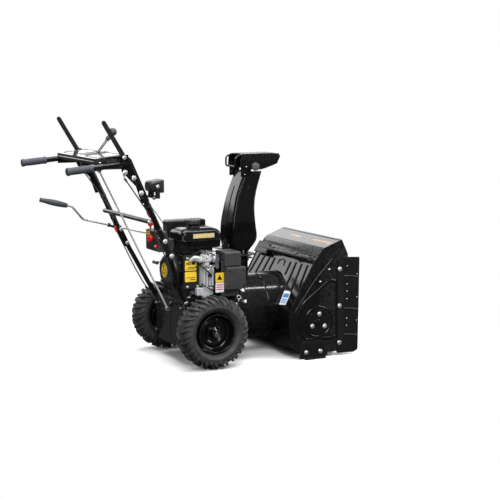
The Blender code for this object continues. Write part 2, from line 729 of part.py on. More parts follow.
def deflector():
    cheek = rounded([(-0.222, 0.9385), (-0.405, 0.9375), (-0.416, 0.927), (-0.399, 0.892),
                     (-0.316, 0.8665), (-0.262, 0.868), (-0.208, 0.878), (-0.212, 0.925)],
                    [0, 0, 0.004, 0.012, 0.01, 0, 0.008, 0.008])
    top = box((-CHEEK_X, -0.412, 0.9355), (CHEEK_X, -0.222, 0.9385))
    for sign in (-1, 1):
        join(top, as_mesh(stand_on_x(flat(cheek, SHEET), sign * CHEEK_X)))
    handle = corner_route([(-0.050, -0.226, 0.9370), (-0.050, -0.191, 0.925),
                           (-0.050, -0.190, 0.882), (0.050, -0.190, 0.882),
                           (0.050, -0.191, 0.925), (0.050, -0.226, 0.9370)], 0.012, 2)
    join(top, as_mesh(tube(handle, 0.0042, 1)))
    part(top, "deflector", SATIN)
    knob_x = CHEEK_X + SHEET / 2 + GAP
    knob = [(0.0, 0.0), (0.010, 0.0), (0.010, 0.004), (0.0195, 0.005), (0.0200, 0.012),
            (0.0185, 0.0165), (0.009, 0.018), (0.0, 0.018)]
    part(turned(knob, (-knob_x, -0.281, 0.8815), (-1, 0, 0), 16), "deflector_knob", PLASTIC)


def crank():
    bend = crank_point((CRANK_EYE - CRANK_FRONT).length + 0.124)
    throw = bend + Vector((-0.056, 0.072, 0.068))
    grip_start, grip_length = 0.022, 0.130
    grip_end = throw + CRANK_DIRECTION * (grip_start + grip_length - 0.004)
    route = corner_route([CRANK_FRONT, bend, throw, grip_end], 0.014, 3)
    rod_body = as_mesh(tube(route, CRANK_ROD_RADIUS, 2))
    join(rod_body, rod(crank_point(0.095), crank_point(0.150), 0.0205, 14))
    part(rod_body, "chute_crank", STEEL)
    hollow = CRANK_ROD_RADIUS + GAP * 2
    grip = [(hollow, 0.0), (0.009, 0.0), (0.0125, 0.015), (0.0145, 0.065), (0.012, 0.118),
            (0.010, grip_length), (hollow, grip_length)]
    part(turned(grip, throw + CRANK_DIRECTION * grip_start, CRANK_DIRECTION, 12, closed=True),
         "crank_grip", GRIP_RUBBER)


# ----------------------------------------------------------------------- engine

ROPE_X, ROPE_Z = 0.052, 0.448
RECOIL_REAR_Y = 0.152


def engine():
    deck = DECK_Z + GAP
    block = box((-0.095, ENGINE_FRONT_Y, deck + 0.010), (0.095, 0.092, 0.495), 0.010)
    cylinder = box((-0.125, -0.048, 0.350), (-0.05, 0.055, 0.440), 0.006)
    join(block, box((-0.110, -0.050, deck), (0.110, 0.085, deck + 0.016)), cylinder,
         box((0.05, -0.050, 0.360), (0.118, 0.060, 0.485), 0.008))
    cut(block, rod((ROPE_X, -0.2, ROPE_Z), (ROPE_X, 0.2, ROPE_Z), 0.006, 10))
    part(block, "engine_block", SATIN)
    rear = RECOIL_REAR_Y
    front = 0.092 + GAP
    shape = [(0.0, rear - front), (0.030, rear - front), (0.062, rear - front - 0.006),
             (0.074, rear - front - 0.018), (0.078, rear - front - 0.030), (0.080, 0.0),
             (0.0, 0.0)]
    cover = turned(shape, (0, front, CRANK_Z + 0.006), (0, 1, 0), 24)
    cut(cover, rod((ROPE_X, 0.05, ROPE_Z), (ROPE_X, 0.2, ROPE_Z), 0.006, 10))
    part(cover, "recoil_cover", SATIN)


def recoil_handle():
    """The T handle and the pulled length of its cord, drawn straight."""
    start = RECOIL_REAR_Y - 0.004
    grip = rod((ROPE_X - 0.028, start + 0.022, ROPE_Z), (ROPE_X + 0.028, start + 0.022, ROPE_Z),
               0.0085, 12)
    join(grip, rod((ROPE_X, start + 0.006, ROPE_Z), (ROPE_X, start + 0.024, ROPE_Z), 0.0055, 10),
         rod((ROPE_X, -0.040, ROPE_Z), (ROPE_X, start + 0.01, ROPE_Z), 0.0022, 8))
    part(grip, "recoil_handle", SATIN)


def tank_and_boxes():
    deck = 0.4955 + GAP
    tank = box((-0.102, -0.088, 0.556), (0.058, 0.097, 0.612), 0.014, 2)
    join(tank, box((-0.098, -0.084, 0.522), (0.054, 0.093, 0.558)),
         rod((-0.020, 0.012, 0.60), (-0.020, 0.012, 0.622), 0.027, 16),
         box((-0.060, -0.050, deck), (0.030, 0.060, 0.524)))
    part(tank, "fuel_tank", BLACK)
    cap = [(0.0, 0.0), (0.030, 0.0), (0.0345, 0.003), (0.0345, 0.019), (0.031, 0.024),
           (0.012, 0.0255), (0.0, 0.0255)]
    part(turned(cap, (-0.020, 0.012, 0.622 + GAP), (0, 0, 1), 20), "fuel_cap", SATIN)
    heater = box((-0.176, -0.158, 0.4385), (-0.1505, -0.076, 0.506), 0.006)
    part(join(heater, box((-0.170, -0.157, 0.4625), (-0.064, -0.077, 0.5055), 0.006)), "heater_box",
         PLASTIC)
    carburettor = box((-0.140, -0.030, 0.4415), (-0.100, 0.020, 0.500), 0.004)
    join(carburettor, rod((-0.145, -0.046, 0.470), (-0.105, -0.046, 0.470), 0.016, 12),
         rod((-0.120, -0.040, 0.470), (-0.120, 0.010, 0.470), 0.014, 12))
    part(carburettor, "carburettor", ALLOY)
    muffler = box((0.064, -0.095, 0.500), (0.140, 0.098, 0.634), 0.012, 2)
    join(muffler, rod((0.112, 0.02, 0.4862), (0.112, 0.02, 0.505), 0.012, 12))
    part(muffler, "muffler", SATIN)


PANEL_REAR_Y = 0.186


def control_panel():
    panel = box((-0.020, 0.138, 0.5035), (0.130, PANEL_REAR_Y, 0.597), 0.006)
    join(panel, box((-0.010, 0.1005, 0.515), (0.050, 0.140, 0.560)))
    slide = 0.016
    cut(panel, rod((0.052, PANEL_REAR_Y - slide, 0.560), (0.052, PANEL_REAR_Y + 0.01, 0.560),
                   0.0085, 14),
        rod((0.005, PANEL_REAR_Y - slide, 0.527), (0.005, PANEL_REAR_Y + 0.01, 0.527), 0.0085, 14),
        box((0.112, 0.150, 0.586), (0.120, 0.181, 0.61)))
    part(panel, "control_panel", PLASTIC)
    key = rod((0.052, PANEL_REAR_Y - slide + 0.001, 0.560),
              (0.052, PANEL_REAR_Y + 0.004, 0.560), 0.0082 - GAP, 14)
    join(key, rod((0.052, PANEL_REAR_Y + 0.001, 0.560), (0.052, PANEL_REAR_Y + 0.009, 0.560),
                  0.013, 16),
         box((0.046, PANEL_REAR_Y + 0.005, 0.554), (0.058, PANEL_REAR_Y + 0.024, 0.566), 0.002))
    part(key, "engine_key", RED)
    button = [(0.0, 0.0), (0.0080, 0.0), (0.0080, 0.016), (0.0065, 0.0195), (0.0, 0.021)]
    part(turned(button, (0.005, PANEL_REAR_Y - slide + 0.007, 0.527), (0, 1, 0), 14),
         "primer_button", RED)
    lever = box((0.1135, 0.162, 0.590), (0.1185, 0.170, 0.614))
    join(lever, ball((0.116, 0.166, 0.622), 0.0142, 12, 8))
    part(lever, "throttle_lever", RED)


# ---------------------------------------------------------------------- handles

RAIL_FOOT = Vector((RAIL_X, 0.2255, 0.505))
RAIL_TOP = Vector((RAIL_X, 0.425, 0.930))
RAIL_DIRECTION = (RAIL_TOP - RAIL_FOOT).normalized()
GRIP_FRONT = Vector((0.2990, 0.600, 0.9165))
GRIP_BACK = Vector((0.3050, 0.716, 0.9055))
BRACE_Z = 0.676


def rail_at(z):
    """The point on the left rail's centre line at a height."""
    return RAIL_FOOT + RAIL_DIRECTION * ((z - RAIL_FOOT.z) / RAIL_DIRECTION.z)


def handles():
    for side, sign in (("right", -1), ("left", 1)):
        flip = Matrix.Diagonal((sign, 1, 1))
        bar = GRIP_BACK - GRIP_FRONT
        route = corner_route([RAIL_FOOT, RAIL_TOP, GRIP_FRONT - bar * 0.4,
                              GRIP_BACK - bar * 0.10], 0.045, 4)
        upper = as_mesh(tube([flip @ p for p in route], RAIL_RADIUS, 3))
        bracket = rounded([(0.336, 0.766), (0.372, 0.757), (0.398, 0.832), (0.462, 0.898),
                           (0.466, 0.966), (0.440, 0.968), (0.418, 0.948)],
                          [0.006, 0.006, 0.010, 0.008, 0.008, 0.008, 0])
        join(upper, as_mesh(stand_on_x(flat(bracket, 0.004), sign * 0.2800)))
        if side == "left":
            lug_from, lug_to = rail_at(0.588), CRANK_EYE
            join(upper, rod(lug_from, lug_to - Vector((0.002, 0.002, 0.002)), 0.006, 10),
                 rod(CRANK_EYE - CRANK_DIRECTION * 0.006, CRANK_EYE + CRANK_DIRECTION * 0.006,
                     0.0095, 16))
            cut(upper, bore(CRANK_EYE - CRANK_DIRECTION * 0.06,
                            CRANK_EYE + CRANK_DIRECTION * 0.02, CRANK_ROD_RADIUS))
        else:
            arm = rail_at(0.800)
            join(upper, box((-RAIL_X, arm.y - 0.062, 0.782), (-RAIL_X + 0.042, arm.y, 0.788)),
                 box((-0.2395, 0.2965, 0.782), (-0.2365, 0.3155, 0.806)))
        part(upper, f"upper_handle_{side}", BLACK)
        inboard = RAIL_X - RAIL_RADIUS - LOWER_TUBE_RADIUS - GAP
        top, knee = rail_at(0.602), rail_at(0.500)
        foot_x = BOX_HALF_WIDTH + LOWER_TUBE_RADIUS + GAP
        lower_route = corner_route([(inboard, top.y, top.z), (inboard, knee.y, knee.z),
                                    (foot_x + 0.008, 0.150, 0.335), (foot_x, 0.090, 0.235)],
                                   0.05, 3)
        lower = tube([flip @ p for p in lower_route], LOWER_TUBE_RADIUS, 2)
        part(as_mesh(lower), f"lower_handle_{side}", BLACK)
        axis = (GRIP_BACK - GRIP_FRONT).normalized()
        length = (GRIP_BACK - GRIP_FRONT).length
        hollow = (RAIL_RADIUS + GAP) / cos(pi / 14)
        sleeve = [(0.0, length), (GRIP_RADIUS - 0.003, length), (GRIP_RADIUS, length - 0.004),
                  (GRIP_RADIUS, length - 0.010), (GRIP_RADIUS - 0.002, length - 0.016),
                  (GRIP_RADIUS - 0.001, length * 0.5), (GRIP_RADIUS - 0.002, 0.0), (hollow, 0.0),
                  (hollow, length * 0.90 + GAP), (0.0, length * 0.90 + GAP)]
        part(turned(sleeve, flip @ GRIP_FRONT, flip @ axis, 14), f"grip_{side}", GRIP_RUBBER)
    at = rail_at(BRACE_Z)
    back = (RAIL_RADIUS + 0.0105 + GAP) / RAIL_DIRECTION.z
    part(rod((-RAIL_X, at.y + back, BRACE_Z), (RAIL_X, at.y + back, BRACE_Z), 0.0105, 16),
         "cross_brace", BLACK)


SHIFT_BRACKET_X = (-0.0225, 0.0145)
SHIFT_PIN_RADIUS = 0.004


def dash():
    """The console plate between the handles, tilted a little towards the operator."""
    front, rear = Vector((0, 0.4135, 0.9655)), Vector((0, 0.567, 0.9505))
    slope = (rear - front).normalized()
    length = (rear - front).length
    slot = slot_outline(0.0, 0.0625, 0.0435, 0.0075)
    plate = as_mesh(flat(rounded([(-DASH_HALF_WIDTH, 0), (DASH_HALF_WIDTH, 0),
                                  (DASH_HALF_WIDTH, length), (-DASH_HALF_WIDTH, length)], 0.008),
                         SHEET, [slot]))
    up = Vector((1, 0, 0)).cross(slope)
    plate.matrix_world = Matrix(((1, 0, 0, 0), (0, slope.y, up.y, front.y),
                                 (0, slope.z, up.z, front.z), (0, 0, 0, 1)))
    join(plate, box((-0.240, 0.4150, 0.905), (0.240, 0.4180, 0.9650)),
         box((-0.243, 0.5620, 0.925), (0.243, 0.5650, 0.9505)))
    for sign in (-1, 1):
        xs = sorted((sign * 0.2400, sign * 0.2430))
        join(plate, box((xs[0], 0.4160, 0.905), (xs[1], 0.5640, 0.9510)))
    for x in SHIFT_BRACKET_X:
        y, z = SHIFT_PIVOT.y, SHIFT_PIVOT.z
        join(plate, box((x - 0.0015, y - 0.014, z - 0.013), (x + 0.0015, y + 0.014, 0.9560)))
        cut(plate, bore((x - 0.01, y, z), (x + 0.01, y, z), SHIFT_PIN_RADIUS))
    part(plate, "dash_panel", BLACK)


def clutch_levers():
    """Flat levers that stand up at rest and are squeezed down onto the grips."""
    reach = Vector((0.095, 0.156))
    along = reach.normalized()
    across = Vector((along.y, -along.x))
    corners = [(-0.010, -0.0105), (-0.010, 0.0105), (0.176, 0.0095), (0.183, 0.0),
               (0.176, -0.0095)]
    outline = rounded([tuple(along * s + across * t) for s, t in corners],
                      [0.008, 0.008, 0.005, 0, 0.005])
    for side, sign in (("right", -1), ("left", 1)):
        plate = flat([(LEVER_PIVOT.y + y, LEVER_PIVOT.z + z) for y, z in outline], 0.005)
        part(as_mesh(stand_on_x(plate, sign * LEVER_PIVOT.x)), f"clutch_lever_{side}", SATIN)


def shift_control():
    """Shift lever through the console, its rod and the arm on the tractor."""
    lean = radians(39)
    along = Vector((0, -sin(lean), cos(lean)))
    knob_centre = SHIFT_PIVOT + along * 0.2055
    lever = rod(SHIFT_PIVOT + along * 0.003, knob_centre, 0.005, 10)
    join(lever, ball(knob_centre, 0.018, 11, 7),
         rod(SHIFT_PIVOT - Vector((0.026, 0, 0)), SHIFT_PIVOT + Vector((0.018, 0, 0)),
             SHIFT_PIN_RADIUS, 12),
         rod(SHIFT_PIVOT + along * 0.165, SHIFT_PIVOT + along * 0.195, 0.0105, 14),
         rod(SHIFT_PIVOT - Vector((0.020, 0, 0)), SHIFT_PIVOT + Vector((0.012, 0, 0)), 0.010, 14))
    arm_end = Vector((-0.016, 0.480, 0.887))
    join(lever, box((-0.019, 0.478, 0.882), (-0.013, 0.522, 0.894)),
         rod(arm_end + Vector((0.001, 0, 0)), arm_end - Vector((0.036, 0, 0)), 0.0045, 10))
    part(lever, "shift_lever", STEEL)
    rod_x = -0.0605
    top, foot = Vector((rod_x, 0.480, 0.887)), Vector((rod_x, 0.161, 0.251))
    bar = rod(top, foot, 0.0042, 12)
    join(bar, rod(top - Vector((0.004, 0, 0)), top + Vector((0.004, 0, 0)), 0.009, 12),
         rod(foot - Vector((0.004, 0, 0)), foot + Vector((0.004, 0, 0)), 0.009, 12))
    part(bar, "shift_rod", STEEL)
    arm_pivot = Vector((-0.052, 0.1345, 0.268))
    arm = rod(arm_pivot - Vector((0.003, 0, 0)), arm_pivot + Vector((0.014, 0, 0)), 0.009, 12)
    reach = Vector((0, foot.y, foot.z)) - Vector((0, arm_pivot.y, arm_pivot.z))
    link = box((-0.055, -0.006, 0.0), (-0.050, 0.006, reach.length))
    link.matrix_world = Matrix.Translation((0, arm_pivot.y, arm_pivot.z)) \
        @ Matrix.Rotation(-atan2(reach.y, reach.z), 4, "X") @ Matrix.Translation(link.location)
    part(join(arm, link), "shift_arm", SATIN)


# ----------------------------------------------- headlight, tool, cables, wiring

def headlight():
    shell = box((-0.233, 0.246, 0.794), (-0.158, 0.312, 0.852), 0.007)
    part(shell, "headlight", PLASTIC)


def clean_out_tool():
    """A long handle with a flat paddle, lying in two clips on the housing."""
    centre = TOOL_CENTRE
    shaft = rod((-0.255, centre.y, centre.z), (0.150, centre.y, centre.z), 0.0100, 12)
    join(shaft, rod((-0.262, centre.y, centre.z), (-0.185, centre.y, centre.z), 0.0118, 12))
    paddle = box((0.140, -0.030, -0.0035), (0.262, 0.030, 0.0035))
    paddle.location = (paddle.location.x, centre.y, centre.z)
    paddle.rotation_euler = (-atan2(TOOL_LIFT.y, TOOL_LIFT.z), 0, 0)
    part(join(shaft, paddle), "clean_out_tool", SATIN)


CABLE_RADIUS = 0.003
RIGHT_CABLE = [(-0.2560, 0.440, 0.866), (-0.2530, 0.424, 0.845), (-0.2510, 0.385, 0.790),
               (-0.2500, 0.345, 0.735), (-0.2500, 0.309, 0.676), (-0.2490, 0.301, 0.640),
               (-0.2480, 0.2935, 0.605), (-0.2480, 0.267, 0.550), (-0.2440, 0.243, 0.500),
               (-0.2100, 0.212, 0.415), (-0.1790, 0.176, 0.335), (-0.1500, 0.150, 0.288),
               (-0.1400, 0.1260, 0.262)]
LEFT_CABLE = [(-x, y, z) for x, y, z in RIGHT_CABLE[:-1]] + [(0.1400, 0.1260, 0.245)]
WIRE = [(-0.1960, 0.3190, 0.7990), (-0.1960, 0.3150, 0.778), (-0.1930, 0.286, 0.725),
        (-0.1850, 0.235, 0.660), (-0.1700, 0.200, 0.580), (-0.1420, 0.165, 0.500),
        (-0.1150, 0.130, 0.440), (-0.0960, 0.100, 0.420)]


def cables():
    part(as_mesh(tube(smooth_route(RIGHT_CABLE, 2), CABLE_RADIUS, 2)), "clutch_cable_right",
         RUBBER)
    part(as_mesh(tube(smooth_route(LEFT_CABLE, 2), CABLE_RADIUS, 2)), "clutch_cable_left",
         RUBBER)
    part(as_mesh(tube(smooth_route(WIRE, 2), 0.0020, 2)), "headlight_wire", RUBBER)


def build():
    for make in (wheels, tractor, friction_drive, belt_drive, housing, drum, impeller, gearbox,
                 shoes_and_cutters, chute, deflector, crank, engine, recoil_handle,
                 tank_and_boxes, control_panel, handles, dash, clutch_levers, shift_control,
                 headlight, clean_out_tool, cables):
        make()
    auger("right", -1)
    auger("left", 1)


build()
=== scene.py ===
"""Looks of a two stage snowblower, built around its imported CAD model.

Metres, +Z up. The auger mouth faces -Y, the operator stands at +Y and the
operator's right hand is at -X. Sizes come from the frame's boxes where a node
gives them, and from the values below otherwise.
"""

import json
from math import atan2, cos, pi, radians, sin, sqrt

import bmesh
import bpy
from mathutils import Matrix, Vector


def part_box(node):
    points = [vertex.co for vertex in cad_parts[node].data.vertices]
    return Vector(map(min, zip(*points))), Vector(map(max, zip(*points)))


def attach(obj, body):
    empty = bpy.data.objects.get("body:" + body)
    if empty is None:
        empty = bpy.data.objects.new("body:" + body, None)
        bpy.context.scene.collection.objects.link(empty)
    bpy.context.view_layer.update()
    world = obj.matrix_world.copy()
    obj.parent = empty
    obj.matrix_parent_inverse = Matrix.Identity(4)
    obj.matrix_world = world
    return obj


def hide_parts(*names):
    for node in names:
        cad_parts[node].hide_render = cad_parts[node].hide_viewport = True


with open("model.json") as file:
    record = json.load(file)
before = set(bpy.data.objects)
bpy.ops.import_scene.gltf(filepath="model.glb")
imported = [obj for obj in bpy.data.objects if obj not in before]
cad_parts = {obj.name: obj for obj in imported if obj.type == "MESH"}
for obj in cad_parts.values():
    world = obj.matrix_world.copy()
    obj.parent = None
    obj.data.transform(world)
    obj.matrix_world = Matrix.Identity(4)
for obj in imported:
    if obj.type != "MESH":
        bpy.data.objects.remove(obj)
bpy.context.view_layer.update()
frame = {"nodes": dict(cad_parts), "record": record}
NODES = frame["nodes"]
JOINTS = {joint["name"]: joint for joint in frame["record"]["behaviour"]["joints"]}

X, Y, Z = Vector((1, 0, 0)), Vector((0, 1, 0)), Vector((0, 0, 1))
SIDES = (("right", -1), ("left", 1))


def low(node):
    return Vector(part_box(node)[0])


def high(node):
    return Vector(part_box(node)[1])


def middle(node):
    return (low(node) + high(node)) / 2


def pivot(joint):
    return Vector(JOINTS[joint]["pos_m"])


# -------------------------------------------------------------------- materials

def shader_material(name, colour, roughness, metallic=0.0, **sockets):
    """A Principled material; returns it with its node tree and shader node."""
    made = bpy.data.materials.new(name)
    made.use_nodes = True
    tree = made.node_tree
    shader = tree.nodes["Principled BSDF"]
    shader.inputs["Base Color"].default_value = (*colour, 1.0)
    shader.inputs["Roughness"].default_value = roughness
    shader.inputs["Metallic"].default_value = metallic
    for socket, value in sockets.items():
        shader.inputs[socket.replace("_", " ")].default_value = value
    return made, tree, shader


def coordinates(tree):
    where = tree.nodes.new("ShaderNodeTexCoord")
    mapping = tree.nodes.new("ShaderNodeMapping")
    tree.links.new(where.outputs["Object"], mapping.inputs["Vector"])
    return mapping.outputs["Vector"]


def noise(tree, vector, scale, detail=4.0, roughness=0.55):
    node = tree.nodes.new("ShaderNodeTexNoise")
    node.inputs["Scale"].default_value = scale
    node.inputs["Detail"].default_value = detail
    node.inputs["Roughness"].default_value = roughness
    tree.links.new(vector, node.inputs["Vector"])
    return node.outputs["Fac"]


def spread(tree, value, out_low, out_high, in_low=0.3, in_high=0.7):
    """Map a 0 to 1 value onto another range, clamped."""
    node = tree.nodes.new("ShaderNodeMapRange")
    for socket, number in zip(("From Min", "From Max", "To Min", "To Max"),
                              (in_low, in_high, out_low, out_high)):
        node.inputs[socket].default_value = number
    tree.links.new(value, node.inputs["Value"])
    return node.outputs["Result"]


def blend_colour(tree, factor, first, second):
    """Mix two colours, each a tuple or a socket."""
    node = tree.nodes.new("ShaderNodeMix")
    node.data_type = "RGBA"
    tree.links.new(factor, node.inputs["Factor"])
    for socket, colour in (("A", first), ("B", second)):
        target = [s for s in node.inputs if s.name == socket and s.type == "RGBA"][0]
        if isinstance(colour, tuple):
            target.default_value = (*colour, 1.0)
        else:
            tree.links.new(colour, target)
    return [s for s in node.outputs if s.type == "RGBA"][0]


def math_node(tree, operation, first, second):
    node = tree.nodes.new("ShaderNodeMath")
    node.operation = operation
    for socket, value in zip(node.inputs, (first, second)):
        if isinstance(value, (int, float)):
            socket.default_value = value
        else:
            tree.links.new(value, socket)
    return node.outputs["Value"]


def bump(tree, shader, height, strength, distance=0.001):
    node = tree.nodes.new("ShaderNodeBump")
    node.inputs["Strength"].default_value = strength
    node.inputs["Distance"].default_value = distance
    tree.links.new(height, node.inputs["Height"])
    tree.links.new(node.outputs["Normal"], shader.inputs["Normal"])


def worn_edges(tree, vector):
    """0 on open surfaces, towards 1 on outer edges broken up by noise."""
    geometry = tree.nodes.new("ShaderNodeNewGeometry")
    edge = spread(tree, geometry.outputs["Pointiness"], 0.0, 1.0, 0.54, 0.62)
    return math_node(tree, "MULTIPLY", edge, spread(tree, noise(tree, vector, 60.0), 0.0, 1.0))


def painted(name, colour, rough_low, rough_high, coat, peel=0.05, gloss=0.24):
    """Baked paint: orange peel, drifting roughness, faint mottling and rubbed edges."""
    made, tree, shader = shader_material(name, colour, rough_low, Coat_Weight=coat,
                                         Coat_Roughness=0.06, Specular_IOR_Level=gloss)
    at = coordinates(tree)
    patches = noise(tree, at, 9.0)
    tree.links.new(spread(tree, patches, rough_low, rough_high), shader.inputs["Roughness"])
    grey = tuple(min(1.0, c * 1.8 + 0.002) for c in colour)
    tone = blend_colour(tree, spread(tree, noise(tree, at, 35.0, 6.0), 0.0, 0.35), colour, grey)
    worn = math_node(tree, "MULTIPLY", worn_edges(tree, at), 0.45)
    tree.links.new(blend_colour(tree, worn, tone, (0.11, 0.11, 0.115)),
                   shader.inputs["Base Color"])
    bump(tree, shader, noise(tree, at, 520.0, 2.0), peel, 0.0004)
    return made


def moulded(name, colour, roughness, grain=900.0, strength=0.25, coat=0.0):
    """Moulded plastic or rubber with a fine spark-eroded grain."""
    made, tree, shader = shader_material(name, colour, roughness, Coat_Weight=coat)
    at = coordinates(tree)
    lighter = tuple(min(1.0, c * 1.35 + 0.004) for c in colour)
    tone = blend_colour(tree, spread(tree, noise(tree, at, 22.0, 5.0), 0.0, 0.6), colour, lighter)
    tree.links.new(tone, shader.inputs["Base Color"])
    tree.links.new(spread(tree, noise(tree, at, 40.0), roughness - 0.06, roughness + 0.08),
                   shader.inputs["Roughness"])
    bump(tree, shader, noise(tree, at, grain, 3.0), strength, 0.0004)
    return made


def bare_metal(name, colour, roughness, grain=260.0, strength=0.1):
    """Plated, machined or cast metal."""
    made, tree, shader = shader_material(name, colour, roughness, 1.0)
    at = coordinates(tree)
    darker = tuple(c * 0.72 for c in colour)
    tone = blend_colour(tree, spread(tree, noise(tree, at, 30.0, 6.0), 0.0, 1.0), colour, darker)
    tree.links.new(tone, shader.inputs["Base Color"])
    tree.links.new(spread(tree, noise(tree, at, 55.0), roughness - 0.07, roughness + 0.1),
                   shader.inputs["Roughness"])
    bump(tree, shader, noise(tree, at, grain, 4.0), strength, 0.0005)
    return made


def tyre_rubber():
    """Dark rubber with grey bloom, fine mould lines and a little dust."""
    made, tree, shader = shader_material("tyre_rubber", (0.02, 0.02, 0.021), 0.6)
    at = coordinates(tree)
    bloom = spread(tree, noise(tree, at, 26.0, 8.0, 0.65), 0.0, 1.0, 0.35, 0.75)
    tree.links.new(blend_colour(tree, bloom, (0.014, 0.014, 0.015), (0.042, 0.043, 0.047)),
                   shader.inputs["Base Color"])
    tree.links.new(spread(tree, noise(tree, at, 90.0), 0.5, 0.78), shader.inputs["Roughness"])
    bump(tree, shader, noise(tree, at, 700.0, 4.0), 0.35, 0.0006)
    return made


PAINT = painted("gloss_black_paint", (0.0022, 0.0022, 0.0026), 0.09, 0.15, 0.0, 0.01)
SATIN = painted("satin_black_paint", (0.0055, 0.0055, 0.006), 0.26, 0.4, 0.0, 0.08)
DARK_PLASTIC = moulded("dark_grey_plastic", (0.026, 0.026, 0.028), 0.46)
BLACK_PLASTIC = moulded("black_plastic", (0.01, 0.01, 0.011), 0.34, 1300.0, 0.15)
GREY_PLASTIC = moulded("grey_knob_plastic", (0.056, 0.058, 0.062), 0.42)
GRIP = moulded("grip_rubber", (0.03, 0.034, 0.043), 0.58, 700.0, 0.3)
CABLE = moulded("cable_sheath", (0.01, 0.01, 0.011), 0.38, 1500.0, 0.1)
RED = moulded("red_plastic", (0.62, 0.008, 0.01), 0.28, 1600.0, 0.06, 0.4)
YELLOW = moulded("yellow_label", (0.78, 0.52, 0.03), 0.36, 1900.0, 0.05, 0.3)
CREAM = moulded("cream_label", (0.46, 0.4, 0.27), 0.34, 1900.0, 0.05, 0.4)
WHITE = moulded("white_label", (0.72, 0.74, 0.76), 0.32, 1900.0, 0.04, 0.3)
BLUE = moulded("blue_label", (0.05, 0.22, 0.55), 0.32, 1900.0, 0.04, 0.3)
ORANGE = moulded("orange_decal", (0.3, 0.15, 0.035), 0.34, 1900.0, 0.05, 0.3)
LENS = moulded("lamp_lens", (0.62, 0.64, 0.66), 0.16, 300.0, 0.1, 0.8)
ZINC = bare_metal("zinc_plate", (0.94, 0.95, 0.95), 0.36)
PLATED = moulded("plated_rod", (0.36, 0.37, 0.36), 0.26, 1200.0, 0.05, 0.7)
GUNMETAL = moulded("gunmetal_finish", (0.06, 0.064, 0.07), 0.26, 900.0, 0.04, 0.6)
CHROME = bare_metal("bright_steel", (0.72, 0.73, 0.74), 0.22, 180.0, 0.04)
ALLOY = moulded("cast_alloy", (0.5, 0.51, 0.525), 0.3, 420.0, 0.35, 0.5)
SPROCKET = bare_metal("machined_steel", (0.5, 0.5, 0.51), 0.34, 240.0, 0.12)
BRASS = bare_metal("brass", (0.72, 0.52, 0.22), 0.32, 260.0, 0.1)
TYRE = tyre_rubber()

STOOD_FOR = set()  # CAD nodes that a piece stands for


# ------------------------------------------------------------------ mesh tools

def soften(obj, width, angle=38):
    """Round an object's edges and shade it smooth."""
    for polygon in obj.data.polygons:
        polygon.use_smooth = True
    if width:
        edge = obj.modifiers.new("edge", "BEVEL")
        edge.width = width
        edge.segments = 2
        edge.limit_method = "ANGLE"
        edge.angle_limit = radians(angle)
        edge.miter_outer = "MITER_ARC"
    normals = obj.modifiers.new("normals", "WEIGHTED_NORMAL")
    normals.keep_sharp = True
    return obj


def finish_node(node, material, width):
    """Keep a CAD node and give it its material and softened edges."""
    obj = NODES[node]
    obj.data.materials.clear()
    obj.data.materials.append(material)
    weld = obj.modifiers.new("weld", "WELD")
    weld.merge_threshold = 0.00002
    flatten = obj.modifiers.new("flatten", "DECIMATE")
    flatten.decimate_type = "DISSOLVE"
    flatten.angle_limit = radians(1.0)
    soften(obj, width)


def bm_object(name, material, builder):
    """An object from a function that fills a bmesh, with its faces turned outwards."""
    mesh = bpy.data.meshes.new(name)
    bm = bmesh.new()
    builder(bm)
    bmesh.ops.recalc_face_normals(bm, faces=bm.faces)
    bm.to_mesh(mesh)
    bm.free()
    obj = bpy.data.objects.new(name, mesh)
    bpy.context.scene.collection.objects.link(obj)
    mesh.materials.append(material)
    return obj


def seat(name, obj, body, node=None):
    """Name a finished piece, seat it on its body and its CAD node."""
    obj.name = name
    obj.data.name = name
    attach(obj, body)
    if node:
        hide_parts(node)
        STOOD_FOR.add(node)


def piece(name, material, width=0.0, body="frame", node=None, angle=38):
    """Turn the function below it, which fills a bmesh, into a named piece of the model.

    Node is the CAD node it stands for.
    """
    def build_piece(fill):
        obj = soften(bm_object(name, material, fill), width, angle)
        seat(name, obj, body, node)
    return build_piece


def axes_for(axis):
    """Two directions square to an axis."""
    axis = Vector(axis).normalized()
    side = axis.cross(Z if abs(axis.z) < 0.9 else X).normalized()
    return side, axis.cross(side)


def ring_loft(bm, rings, closed=False):
    """Skin a list of equal rings of points; closed joins the last to the first."""
    rows = [[bm.verts.new(p) for p in ring] for ring in rings]
    pairs = list(zip(rows, rows[1:]))
    if closed:
        pairs.append((rows[-1], rows[0]))
    count = len(rows[0])
    for a, b in pairs:
        for k in range(count):
            bm.faces.new((a[k], a[(k + 1) % count], b[(k + 1) % count], b[k]))
    if not closed:
        bm.faces.new(list(reversed(rows[0])))
        bm.faces.new(rows[-1])


def lathe(bm, profile, origin, axis, steps=48, closed=False):
    """Turn (height, radius) points about an axis; a radius of 0 makes a pole."""
    origin, axis = Vector(origin), Vector(axis).normalized()
    u, v = axes_for(axis)
    rows = []
    for height, radius in profile:
        centre = origin + axis * height
        if radius <= 0:
            rows.append([bm.verts.new(centre)])
            continue
        rows.append([bm.verts.new(centre + (u * cos(2 * pi * k / steps)
                                            + v * sin(2 * pi * k / steps)) * radius)
                     for k in range(steps)])
    pairs = list(zip(rows, rows[1:]))
    if closed:
        pairs.append((rows[-1], rows[0]))
    for a, b in pairs:
        for k in range(steps):
            n = (k + 1) % steps
            if len(a) == 1 and len(b) > 1:
                bm.faces.new((a[0], b[n], b[k]))
            elif len(b) == 1 and len(a) > 1:
                bm.faces.new((a[k], a[n], b[0]))
            elif len(a) > 1:
                bm.faces.new((a[k], a[n], b[n], b[k]))


